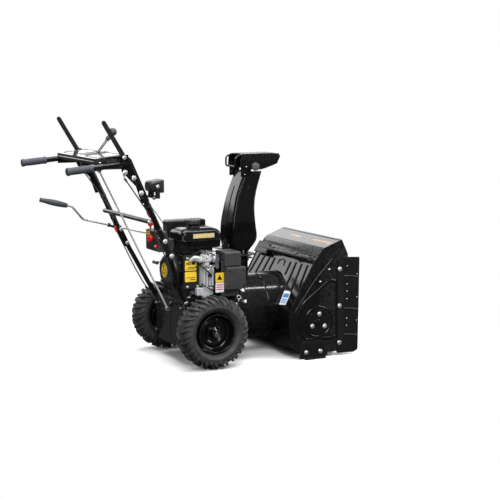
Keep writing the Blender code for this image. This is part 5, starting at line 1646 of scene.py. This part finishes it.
def shift():
    """The speed lever: a dark stem, a collar and a ball knob; the shift rod's end clips."""
    at = pivot("shift_lever_turn")
    lean = radians(39)
    along = Vector((0, -sin(lean), cos(lean)))
    knob_at = at + along * 0.2055

    @piece("shift_lever_stem", GUNMETAL, 0.0003, body="shift_lever", node="shift_lever")
    def stem(bm):
        sweep(bm, [at + along * 0.008, at + along * 0.19], 0.0058, 16)
        lathe(bm, [(-0.0195, 0.0), (-0.0195, 0.0098), (0.0115, 0.0098), (0.0115, 0.0)], at, X, 28)
        lathe(bm, [(-0.026, 0.0), (-0.026, 0.004), (0.018, 0.004), (0.018, 0.0)], at, X, 20)
        end = Vector((-0.016, 0.48, 0.887))
        slab(bm, rounded([(0.475, 0.8815), (0.526, 0.8835), (0.526, 0.9005), (0.475, 0.8925)],
                         0.005), facing_x(-0.019), 0.006)
        sweep(bm, [end + X * 0.001, end - X * 0.036], 0.0044, 16)

    @piece("shift_knob", DARK_PLASTIC, body="shift_lever")
    def knob(bm):
        profile = [(-0.021, 0.0), (-0.021, 0.0066), (-0.0185, 0.0082)]
        profile += ball_half(0.018, (-52, -38, -24, -10, 4, 18, 32, 46, 60, 74, 84))
        lathe(bm, profile + [(0.018, 0.0)], knob_at, along, 40)
        lathe(bm, [(0.16, 0.0), (0.16, 0.0072), (0.165, 0.01), (0.176, 0.0104), (0.183, 0.0092),
                   (0.186, 0.007), (0.186, 0.0)], at, along, 32)


    @piece("shift_rod_clips", CHROME, body="shift_rod")
    def rod_clips(bm):
        for point in (Vector((-0.0605, 0.48, 0.887)), Vector((-0.0605, 0.161, 0.251))):
            lathe(bm, [(-0.0052, 0.0), (-0.0052, 0.0066), (-0.0042, 0.0072), (-0.004, 0.0)], point,
                  X,
                  20)
            sweep(bm, [point + Vector((-0.006, 0.008, 0.004)), point + Vector((-0.0062, 0, 0)),
                       point + Vector((-0.006, -0.01, 0.002))], 0.0008, 8)


def headlight():
    """A work lamp: finned shell, bright bezel, ribbed lens, bracket and bolts."""
    a, b = low("headlight"), high("headlight")
    mid = (a + b) / 2
    front = a.y

    @piece("headlight_shell", BLACK_PLASTIC, body="headlight",
           node="headlight")
    def shell(bm):
        rows = ((b.y - 0.0002, 0.012, 0.014), (b.y - 0.004, 0.008, 0.014),
                (b.y - 0.014, 0.0045, 0.012),
                (front + 0.02, 0.0012, 0.009), (front + 0.014, 0.0002, 0.008),
                (front + 0.0012, 0.0002, 0.008), (front + 0.0004, 0.0016, 0.007),
                (front + 0.0004, 0.0052, 0.005), (front + 0.005, 0.006, 0.004))
        ring_loft(bm, [[(x, y, z) for x, z in
                        round_rect(a.x + inset, a.z + inset, b.x - inset, b.z - inset, corner, 5)]
                       for y, inset, corner in rows])
        for k in range(5):
            z = a.z + 0.014 + 0.0075 * k
            soft_box(bm, (a.x + 0.012, b.y - 0.018, z), (b.x - 0.012, b.y - 0.0004, z + 0.0022),
                     0.0008)


    @piece("headlight_lens", LENS, body="headlight")
    def lens(bm):
        rings = []
        for y, inset in ((front + 0.0052, 0.0062), (front + 0.003, 0.0064), (front + 0.0022, 0.009),
                         (front + 0.0014, 0.016)):
            rings.append([Vector((x, y, z)) for x, z in
                          round_rect(a.x + inset, a.z + inset, b.x - inset, b.z - inset, 0.004, 5)])
        ring_loft(bm, rings)
        for k in range(7):
            x = a.x + 0.014 + 0.0079 * k
            bead(bm, [(x, front + 0.0019, z) for z in (a.z + 0.012, mid.z, b.z - 0.012)], -Y,
                 0.0024, 0.0008)

    @piece("headlight_bezel", CHROME, body="headlight")
    def bezel(bm):
        outer = round_rect(a.x + 0.0034, a.z + 0.0034, b.x - 0.0034, b.z - 0.0034, 0.006, 5)
        inner = round_rect(a.x + 0.0062, a.z + 0.0062, b.x - 0.0062, b.z - 0.0062, 0.004, 5)
        ring_loft(bm, [[(x, y, z) for x, z in line] for line, y in
                       ((inner, front + 0.003), (inner, front + 0.0004), (outer, front + 0.0002),
                        (outer, front + 0.003))], closed=True)


    @piece("headlight_bracket", SATIN, 0.0004)
    def bracket(bm):
        for side_x in (a.x - 0.0036, b.x + 0.0012):
            slab(bm, rounded([(mid.y - 0.012, a.z - 0.022), (mid.y + 0.012, a.z - 0.022),
                              (mid.y + 0.009, mid.z + 0.008), (mid.y - 0.009, mid.z + 0.008)],
                              0.006),
                 facing_x(side_x), 0.0024)
        soft_box(bm, (a.x - 0.0036, mid.y - 0.012, a.z - 0.0235), (b.x + 0.0036, mid.y + 0.012,
                                                                   a.z - 0.0205), 0.0012)

    @piece("headlight_bolts", ZINC, 0.0002)
    def knobs(bm):
        bolt(bm, (mid.x, mid.y, a.z - 0.0235), -Z, 0.0072, 0.006)
        for x, s in ((a.x - 0.0036, -1), (b.x + 0.0036, 1)):
            bolt(bm, (x, mid.y, mid.z), X * s, 0.0056, 0.004)


def handles():
    for side, sign in SIDES:
        hand_grip(side, sign)
        rail_details(side, sign)
        wire_link(side, sign)
        clutch_lever(side, sign)
    dash()
    shift()
    headlight()


# ----------------------------------------------------- augers, skids, lower end

RIBBON_IN, RIBBON_OUT = 0.088, 0.1298
TEETH_PER_TURN = 14
SPOKES_AT = (0.03, 0.35, 0.67, 0.97)
RIBBON_START, RIBBON_END, RIBBON_TURNS = 0.06, 0.262, 1.25


def auger(side, sign):
    """A toothed ribbon on flat spokes around a tube, with its shear bolts."""
    node = f"auger_{side}"

    def along(share):
        """(turn, distance across) at a share of the ribbon's length."""
        return 2 * pi * RIBBON_TURNS * share, RIBBON_START + (RIBBON_END - RIBBON_START) * share

    def around(turn, radius, across):
        return Vector((sign * across, JOURNAL.y + radius * sin(turn),
                       JOURNAL.z + radius * cos(turn)))

    def ribbon(bm):
        steps = int(TEETH_PER_TURN * RIBBON_TURNS) * 4
        rings = []
        for k in range(steps + 1):
            turn, across = along(k / steps)
            outer = RIBBON_OUT - (0.0105 if k % 4 < 2 else 0.0)
            rings.append([around(turn, r, across + d) for r, d in
                          ((RIBBON_IN, -0.0019), (outer, -0.0019), (outer, 0.0019),
                           (RIBBON_IN, 0.0019))])
        ring_loft(bm, rings)

    def core(bm):
        lathe(bm, [(0.0085, 0.0), (0.0085, 0.0095), (0.0342, 0.0095), (0.0342, 0.0168),
                   (0.04, 0.017), (0.269, 0.017), (0.2752, 0.0168), (0.2752, 0.0095),
                   (0.2788, 0.0095), (0.2788, 0.0)], JOURNAL, X * sign, 40)
        for t in SPOKES_AT:
            turn, across = along(t)
            rings = []
            for r, half, thick in ((0.014, 0.0098, 0.0028), (0.03, 0.0098, 0.0028),
                                   (0.06, 0.0085, 0.0026), (0.099, 0.0098, 0.0026),
                                   (0.106, 0.007, 0.0024)):
                side_on = Vector((0, cos(turn), -sin(turn)))
                middle_at = around(turn, r, across)
                rings.append([middle_at + side_on * u * half + X * v * thick for u, v in
                              ((-1, -1), (1, -1), (1, 1), (-1, 1))])
            ring_loft(bm, rings)

    @piece(f"{node}_toothed", SATIN, 0.0005, body="augers", node=node)
    def whole(bm):
        ribbon(bm)
        core(bm)


    @piece(f"{node}_bolts", ZINC, 0.0002, body="augers")
    def fasteners(bm):
        for t in SPOKES_AT:
            turn, across = along(t)
            for d in (-1, 1):
                dome(bm, around(turn, 0.0975, across + d * 0.0024), X * sign * d, 0.005, 0.0026)
        for way in (Z, -Z):
            bolt(bm, JOURNAL + X * sign * 0.046 + way * 0.0165, way, 0.0058, 0.0048)


def impeller_details():
    """Folded blade lips, the boss weld and the blade bolts."""
    centre = IMPELLER_AXIS

    def blades():
        for k in range(4):
            a = k * pi / 2 + pi / 8
            yield Vector((cos(a), 0, -sin(a))), Vector((sin(a), 0, cos(a)))

    @piece("impeller_lips", PAINT, 0.0003, body="impeller")
    def lips(bm):
        for out, up in blades():
            for y in (-0.335, -0.185):
                rings = [[centre + Y * y + out * r + up * h + Y * s for h, s in
                          ((0.001, 0.0), (0.0105, 0.0), (0.0105, 0.0026), (0.001, 0.0026))]
                         for r in (0.03, 0.08, 0.138)]
                ring_loft(bm, rings)
            rings = [[centre + Y * y + out * (0.143 + r) + up * h for h, r in
                      ((0.001, 0.0), (0.009, -0.0006), (0.009, 0.0022), (0.001, 0.0026))]
                     for y in (-0.33, -0.19)]
            ring_loft(bm, rings)

    @piece("impeller_hub", PAINT, 0.0002, body="impeller")
    def hub(bm):
        for profile in (((-0.3355, 0.0224), (-0.33, 0.025), (-0.32, 0.0254), (-0.314, 0.0224)),
                        ((-0.205, 0.0224), (-0.198, 0.0254), (-0.188, 0.0254), (-0.184, 0.0224))):
            lathe(bm, profile, centre, Y, 40, closed=True)

    @piece("impeller_bolts", ZINC, 0.0002, body="impeller")
    def fasteners(bm):
        for out, up in blades():
            for y in (-0.3, -0.22):
                bolt(bm, centre + Y * y + out * 0.048 + up * 0.0018, up, 0.0056, 0.004)


def gearbox_details():
    """Case halves: a bolted flange round the worm case, seals and the filler plug."""
    @piece("gearbox_flanges", ALLOY, 0.0003)
    def flange(bm):
        for x, half in ((0.0, 0.004), (-0.0262, 0.003), (0.0262, 0.003)):
            reach = 0.0492 if x == 0.0 else 0.0454
            lathe(bm, [(x - half, 0.0436), (x - half, reach), (x + half, reach),
                       (x + half, 0.0436)],
                  JOURNAL, X, 56, closed=True)
        for sign in (-1, 1):
            lathe(bm, [(0.0296, 0.014), (0.0296, 0.023), (0.033, 0.022), (0.0336, 0.018),
                       (0.0336, 0.0178), (0.033, 0.014)], JOURNAL, X * sign, 36, closed=True)
        nose = IMPELLER_AXIS
        for y in (-0.556, -0.444):
            lathe(bm, [(y - 0.003, 0.0236), (y - 0.003, 0.0262), (y + 0.003, 0.0262),
                       (y + 0.003, 0.0236)],
                  nose, Y, 36, closed=True)

    @piece("gearbox_bolts", ZINC, 0.0002)
    def fasteners(bm):
        for k in range(8):
            a = 2 * pi * k / 8 + 0.2
            out = Vector((0, sin(a), cos(a)))
            if out.z > 0.75:
                continue
            for way in (X, -X):
                bolt(bm, JOURNAL + out * 0.0455 + way * 0.0042, way, 0.0046, 0.0036, washer=False)
        bolt(bm, JOURNAL + Vector((0.014, -0.026, 0.036)), Vector((0, -0.58, 0.81)), 0.007, 0.005)


def lower_details():
    """Skid bolts and nuts, scraper bolts, frame pressings and the axle's bushes."""
    @piece("belt_guide_ring", ZINC)
    def ring_bolt(bm):
        at = Vector((-0.1725, -0.145, 0.295))
        lathe(bm, [(0.0022 * sin(a), 0.009 + 0.0022 * cos(a)) for a in
                   [2 * pi * k / 10 for k in range(10)]], at, X, 28, closed=True)
        sweep(bm, [at - Z * 0.009, at - Z * 0.026 + X * 0.004], 0.0026, 12)

    @piece("lower_bolts", ZINC, 0.0003)
    def fasteners(bm):
        for _, sign in SIDES:
            for y in SKID_BOLTS_Y:
                bolt(bm, (sign * PLATE_INSIDE, y, 0.0505), -X * sign, 0.007, 0.005)
            for z in (0.06, 0.16, 0.262, 0.372):
                bolt(bm, (sign * PLATE_INSIDE, -0.628, z), -X * sign, 0.0058, 0.0044)
        for x in (-0.23, -0.135, 0.0, 0.135, 0.23):
            dome(bm, (x, -0.398, low("scraper_bar").z + 0.02), -Y, 0.0052, 0.001)

    @piece("shaft_bushes", SPROCKET, 0.0002)
    def bushes(bm):
        for _, sign in SIDES:
            for at, reach in ((Vector((0, 0.031, 0.165)), 0.021),
                              (Vector((0, -0.0275, 0.221)), 0.0165)):
                lathe(bm, [(0.1646, 0.01), (0.1646, reach), (0.1664, reach),
                           (0.1672, reach - 0.003),
                           (0.169, 0.0135), (0.169, 0.01)], at, X * sign, 40, closed=True)
                for k in range(3):
                    a = 2 * pi * k / 3 + 0.5
                    dome(bm, at + X * sign * 0.1664 + (Y * cos(a) + Z * sin(a)) * (reach - 0.0045),
                         X * sign, 0.0026, 0.0014)

    @piece("tractor_pressings", PAINT, 0.0003)
    def pressings(bm):
        for _, sign in SIDES:
            for outline in ([(-0.145, 0.1), (-0.08, 0.1), (-0.08, 0.17), (-0.145, 0.17)],
                            [(0.06, 0.15), (0.108, 0.15), (0.108, 0.245), (0.06, 0.245)]):
                bead(bm, [(sign * 0.1648, y, z) for y, z in rounded(outline, 0.012, 4)],
                     X * sign, 0.0034, 0.0016, True)
        for x in (-0.11, 0.0, 0.11):
            bead(bm, [(x, 0.1198, z) for z in (0.1, 0.15, 0.205)], Y, 0.0045, 0.0018)


CLIP_LINE = ((-0.019, -0.0105), (-0.011, -0.0105), (-0.0128, 0.0), (-0.011, 0.0085),
             (-0.006, 0.0122))


def tool_details():
    """The clean-out tool: ribbed handle, stiffened paddle and the two holding clips."""
    at = Vector((0, -0.4655, 0.4635))
    lift = Vector((0, 0.83, 0.558)).normalized()
    flat_way = Vector((0, lift.z, -lift.y))

    @piece("tool_grip", BLACK_PLASTIC, body="clean_out_tool")
    def grip(bm):
        profile = [(-0.2612, 0.0), (-0.2612, 0.009), (-0.259, 0.0112)]
        for k in range(12):
            x = -0.256 + 0.0056 * k
            profile += [(x, 0.0119), (x + 0.0034, 0.0119), (x + 0.004, 0.0108), (x + 0.005, 0.0108)]
        lathe(bm, profile + [(-0.186, 0.0119), (-0.1845, 0.01), (-0.1845, 0.0)], at, X, 36)

    @piece("tool_paddle_ribs", BLACK_PLASTIC, 0.0004, body="clean_out_tool")
    def paddle(bm):
        for v in (-0.026, 0.0, 0.026):
            bead(bm, [at + lift * 0.0036 + flat_way * v + X * x for x in (0.16, 0.21, 0.256)], lift,
                 0.003, 0.0016)
        ring_loft(bm, [[at + X * x + flat_way * (u * w) + lift * (v * t) for u, v in
                        ((-1, -1), (1, -1), (1, 1), (-1, 1))]
                       for x, w, t in ((0.128, 0.0098, 0.009), (0.14, 0.015, 0.007),
                                       (0.15, 0.024, 0.0042))])

    @piece("tool_clips", BLACK_PLASTIC, 0.0002)
    def clips(bm):
        for x in (-0.135, 0.095):
            for way in (1, -1):
                line = [at + flat_way * (way * u) + lift * v + X * x for u, v in CLIP_LINE]
                rings = []
                for p, q in zip(line, line[1:] + [line[-1] * 2 - line[-2]]):
                    normal = X.cross(q - p).normalized() * 0.0011
                    rings.append([p + normal - X * 0.009, p - normal - X * 0.009,
                                  p - normal + X * 0.009, p + normal + X * 0.009])
                ring_loft(bm, rings)


def drive_details():
    """The friction wheel's clamp rings and the nut on the engine pulley."""
    @piece("friction_wheel_ring", ZINC, 0.0002, body="drive_wheel")
    def wheel_ring(bm):
        hub = Vector((-0.02, -0.0275, 0.221))
        for s in (-1, 1):
            lathe(bm, [(0.005, 0.0175), (0.005, 0.033), (0.0066, 0.0325), (0.0066, 0.0175)], hub,
                  X * s, 40, closed=True)

    @piece("engine_pulley_nut", ZINC, 0.0002, body="crankshaft")
    def nut(bm):
        bolt(bm, (0, -0.136, 0.41), -Y, 0.01, 0.007)
        bolt(bm, (0, -0.135, 0.41), -Y, 0.008, 0.01, washer=False)


def lower_end():
    for side, sign in SIDES:
        auger(side, sign)
    impeller_details()
    gearbox_details()
    lower_details()
    tool_details()
    drive_details()


# --------------------------------------------------------------- floor and light

FOCAL_LENGTH = 96.07
CAMERA_PLACE = Vector((-5.541, 2.549, 1.321))
CAMERA_AZIMUTH, CAMERA_ELEVATION = 242.862, 7.662
ROOM_LIGHT = 0.34
FLOOR_BOUNCE = (0.08, 0.08, 0.084)
FLOOR_NEAR, FLOOR_FAR = 0.75, 1.6
FLOOR_HALF, FLOOR_Z = 14.0, -0.0006
# name, place, aimed at, width, height, power
SOFT_BOXES = (("key", (-3.4, 1.0, 3.0), (0, 0, 0.4), 1.6, 2.2, 150),
              ("front", (-2.4, -3.6, 2.4), (0, -0.2, 0.4), 1.2, 2.2, 80),
              ("top", (0.4, 0.2, 4.2), (0, 0, 0.4), 3.0, 3.0, 190),
              ("back", (3.2, 1.0, 1.55), (-0.1, -0.42, 0.36), 1.5, 1.1, 17),
              ("streak", (-1.0, -1.7, 3.1), (0, -0.2, 0.3), 0.13, 1.9, 36),
              ("operator", (-1.7, 3.3, 1.6), (0, 0, 0.6), 0.24, 2.0, 40),
              ("rim", (3.4, -1.3, 1.9), (0, -0.5, 0.5), 2.4, 1.2, 20))


def camera():
    data = bpy.data.cameras.new("camera")
    data.lens = FOCAL_LENGTH
    data.sensor_width = 36.0
    data.clip_end = 60.0
    obj = bpy.data.objects.new("camera", data)
    bpy.context.scene.collection.objects.link(obj)
    a, e = radians(CAMERA_AZIMUTH), radians(CAMERA_ELEVATION)
    back = Vector((sin(a) * cos(e), -cos(a) * cos(e), sin(e)))
    right = Z.cross(back).normalized()
    up = back.cross(right)
    turn = Matrix((right, up, back)).transposed().to_4x4()
    obj.matrix_world = Matrix.Translation(CAMERA_PLACE) @ turn
    bpy.context.scene.camera = obj


def softbox(name, place, target, width, height, power):
    data = bpy.data.lights.new(name, "AREA")
    data.shape = "RECTANGLE"
    data.size, data.size_y = width, height
    data.energy = power
    obj = bpy.data.objects.new(name, data)
    bpy.context.scene.collection.objects.link(obj)
    obj.location = place
    obj.rotation_euler = (Vector(place) - Vector(target)).to_track_quat("Z", "Y").to_euler()


def studio():
    """A pale floor that fades into white, a bright room and the soft boxes."""
    def make(bm):
        bm.faces.new([bm.verts.new((x, y, FLOOR_Z)) for x, y in
                      ((-FLOOR_HALF, -FLOOR_HALF), (FLOOR_HALF, -FLOOR_HALF),
                       (FLOOR_HALF, FLOOR_HALF), (-FLOOR_HALF, FLOOR_HALF))])

    made, tree, shader = shader_material("pale_floor", (0.9, 0.9, 0.9), 0.75)
    at = coordinates(tree)
    tree.links.new(blend_colour(tree, noise(tree, at, 3.0), (0.88, 0.88, 0.885),
                                (0.92, 0.92, 0.92)), shader.inputs["Base Color"])
    far = tree.nodes.new("ShaderNodeEmission")
    far.inputs["Color"].default_value = (1.0, 1.0, 1.0, 1.0)
    away = tree.nodes.new("ShaderNodeVectorMath")
    away.operation = "LENGTH"
    tree.links.new(at, away.inputs[0])
    reach = spread(tree, away.outputs["Value"], 0.0, 1.0, FLOOR_NEAR, FLOOR_FAR)
    fade = tree.nodes.new("ShaderNodeMixShader")
    tree.links.new(reach, fade.inputs["Fac"])
    tree.links.new(shader.outputs["BSDF"], fade.inputs[1])
    tree.links.new(far.outputs["Emission"], fade.inputs[2])
    dim = tree.nodes.new("ShaderNodeBsdfDiffuse")
    dim.inputs["Color"].default_value = (*FLOOR_BOUNCE, 1.0)
    path = tree.nodes.new("ShaderNodeLightPath")
    mix = tree.nodes.new("ShaderNodeMixShader")
    tree.links.new(path.outputs["Is Camera Ray"], mix.inputs["Fac"])
    tree.links.new(dim.outputs["BSDF"], mix.inputs[1])
    tree.links.new(fade.outputs["Shader"], mix.inputs[2])
    tree.links.new(mix.outputs["Shader"], tree.nodes["Material Output"].inputs["Surface"])
    floor = bm_object("floor", made, make)
    world = bpy.data.worlds.new("studio")
    world.use_nodes = True
    tree = world.node_tree
    room = tree.nodes["Background"]
    room.inputs["Color"].default_value = (1.0, 1.0, 1.0, 1.0)
    room.inputs["Strength"].default_value = ROOM_LIGHT
    seen = tree.nodes.new("ShaderNodeBackground")
    seen.inputs["Color"].default_value = (1.0, 1.0, 1.0, 1.0)
    seen.inputs["Strength"].default_value = 1.0
    path = tree.nodes.new("ShaderNodeLightPath")
    mix = tree.nodes.new("ShaderNodeMixShader")
    tree.links.new(path.outputs["Is Camera Ray"], mix.inputs["Fac"])
    tree.links.new(room.outputs["Background"], mix.inputs[1])
    tree.links.new(seen.outputs["Background"], mix.inputs[2])
    tree.links.new(mix.outputs["Shader"], tree.nodes["World Output"].inputs["Surface"])
    bpy.context.scene.world = world
    bpy.context.scene.view_settings.view_transform = "Standard"
    for row in SOFT_BOXES:
        softbox(*row)


# ------------------------------------------------------------------------ build

for make in (wheels, housing, chute, deflector, crank, engine, handles, lower_end,
             keep_cad_nodes, camera, studio):
    make()
